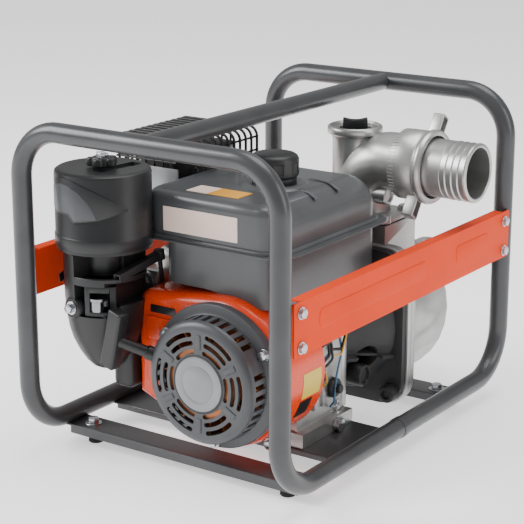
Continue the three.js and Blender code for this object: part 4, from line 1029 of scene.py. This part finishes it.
def coupling_nut(node, name, at, axis, lug_turn):
    """A ring with a knurled foot, a rolled mouth and two hollow lugs."""
    inner = 39.4
    profile = [(inner, 0), (44.4, 0), (45.4, 1), (45.6, 9), (46.6, 10), (46.6, 31),
               (45.4, 32.6), (45.4, 36), (47, 37.4), (49, 40), (49.4, 42.5), (49, 45),
               (47.4, 47.4), (44, 48), (41.5, 47.4), (inner + 1, 45), (inner + 1, 36.3),
               (inner + 4.4, 36.3), (inner + 4.4, 30), (inner, 30)]
    body = turned(profile, (0, 0, 0), Z, 96)
    knurl_count = 60
    knurls = [turned_about(block(44.6, 46.3, -0.8, 0.8, 1, 8.6), (0, 0, 0), Z,
                           FULL * i / knurl_count) for i in range(knurl_count)]
    lugs = []
    for turn in (0, 180):
        lug = block(43, 73, -8.5, 8.5, 24, 40, 1.6, 3)
        pocket = block(50, 70, -5.6, 5.6, 30, 46, 1.0, 2)
        lug = machined(lug, [pocket])
        lugs.append(turned_about(lug, (0, 0, 0), Z, math.radians(turn + lug_turn)))
    made_for(node, name, aimed(joined(body, *knurls, *lugs), at, axis), smooth=38)


def hose_spigot(node, name, at, axis):
    """A turned spigot whose three barbs rise gently towards its end."""
    outer, bore, foot, end = 39, 33, 30.3, 118.3
    profile = [(bore, foot), (outer - 0.9, foot), (outer - 0.9, end - 38)]
    for start in (end - 38, end - 29, end - 20, end - 11):
        profile += [(outer - 1.5, start + 0.5), (outer - 0.3, start + 8)]
    profile += [(outer, end - 3), (outer - 0.4, end - 1), (outer - 2, end), (bore + 1, end),
                (bore, end - 1)]
    spigot = turned(profile, (0, 0, 0), Z, 96)
    aimed(spigot, at, axis)
    made_for(node, name, spigot, smooth=38)


def couplings():
    # Each nut stands out along its spigot from the place where the spigot is seated.
    for port, axis, lug_turn, stand_out in (("outlet", X, -34, 8), ("suction", Y, -50, 0)):
        spigot = middle(f"{port}_spigot")
        seat = spigot + axis * (corners(f"{port}_nut")[0] - spigot).dot(axis)
        coupling_nut(f"{port}_nut", f"{port}_nut_casting", seat + axis * stand_out, axis,
                     lug_turn)
        hose_spigot(f"{port}_spigot", f"{port}_hose_spigot", seat, axis)
    dressed("outlet_gasket", "outlet_gasket_sheet", 0.2, 1)


carry_frame()
side_plate("left", -1)
side_plate("right", 1)
fuel_tank()
fuel_cap()
air_cleaner()
engine_shroud()
recoil_starter()
starter_grip()
engine_details()
throttle()
muffler()
heat_shield()
pump_end()
outlet()
couplings()

# ---- Floor, light and camera ---------------------------------------------------------------
floor_mesh = bpy.data.meshes.new("floor")
floor_bm = bmesh.new()
bmesh.ops.create_grid(floor_bm, x_segments=1, y_segments=1, size=6)
floor_bm.to_mesh(floor_mesh)
floor_bm.free()
floor = stood("floor", floor_mesh)
# Plain seamless paper: near white and matt.
white_paper = finish("white_paper_floor", "FFFFFF", "FDFDFD", 4.0, 0.01, 0.85)
sockets(white_paper)["Emission Color"].default_value = (1, 1, 1, 1)
sockets(white_paper)["Emission Strength"].default_value = 0.75
floor_mesh.materials.append(white_paper)

world = bpy.data.worlds.new("studio")
bpy.context.scene.world = world
world.use_nodes = True
world.node_tree.nodes["Background"].inputs["Color"].default_value = (1, 1, 1, 1)
world.node_tree.nodes["Background"].inputs["Strength"].default_value = 0.5


def softbox(name, at, aim, size, power):
    light = bpy.data.lights.new(name, "AREA")
    light.shape = "RECTANGLE"
    light.size, light.size_y = size
    light.energy = power
    o = stood(name, light)
    o.location = at
    o.rotation_euler = (Vector(aim) - Vector(at)).to_track_quat("-Z", "Y").to_euler()


target = (0, 0, 0.2)
softbox("key_softbox", (-2.2, -1.6, 2.0), target, (1.4, 1.8), 105)
softbox("side_softbox", (2.4, 0.2, 1.3), target, (1.0, 2.0), 22)
softbox("top_softbox", (0.3, 0.4, 2.8), target, (1.8, 1.8), 45)

camera_data = bpy.data.cameras.new("camera")
camera_data.lens = 112.45
camera_data.sensor_width = 36
camera = stood("camera", camera_data)
camera.location = (1.1520, -1.7278, 0.8060)
camera.rotation_euler = (math.radians(74.12), 0, math.radians(34.70))
bpy.context.scene.camera = camera
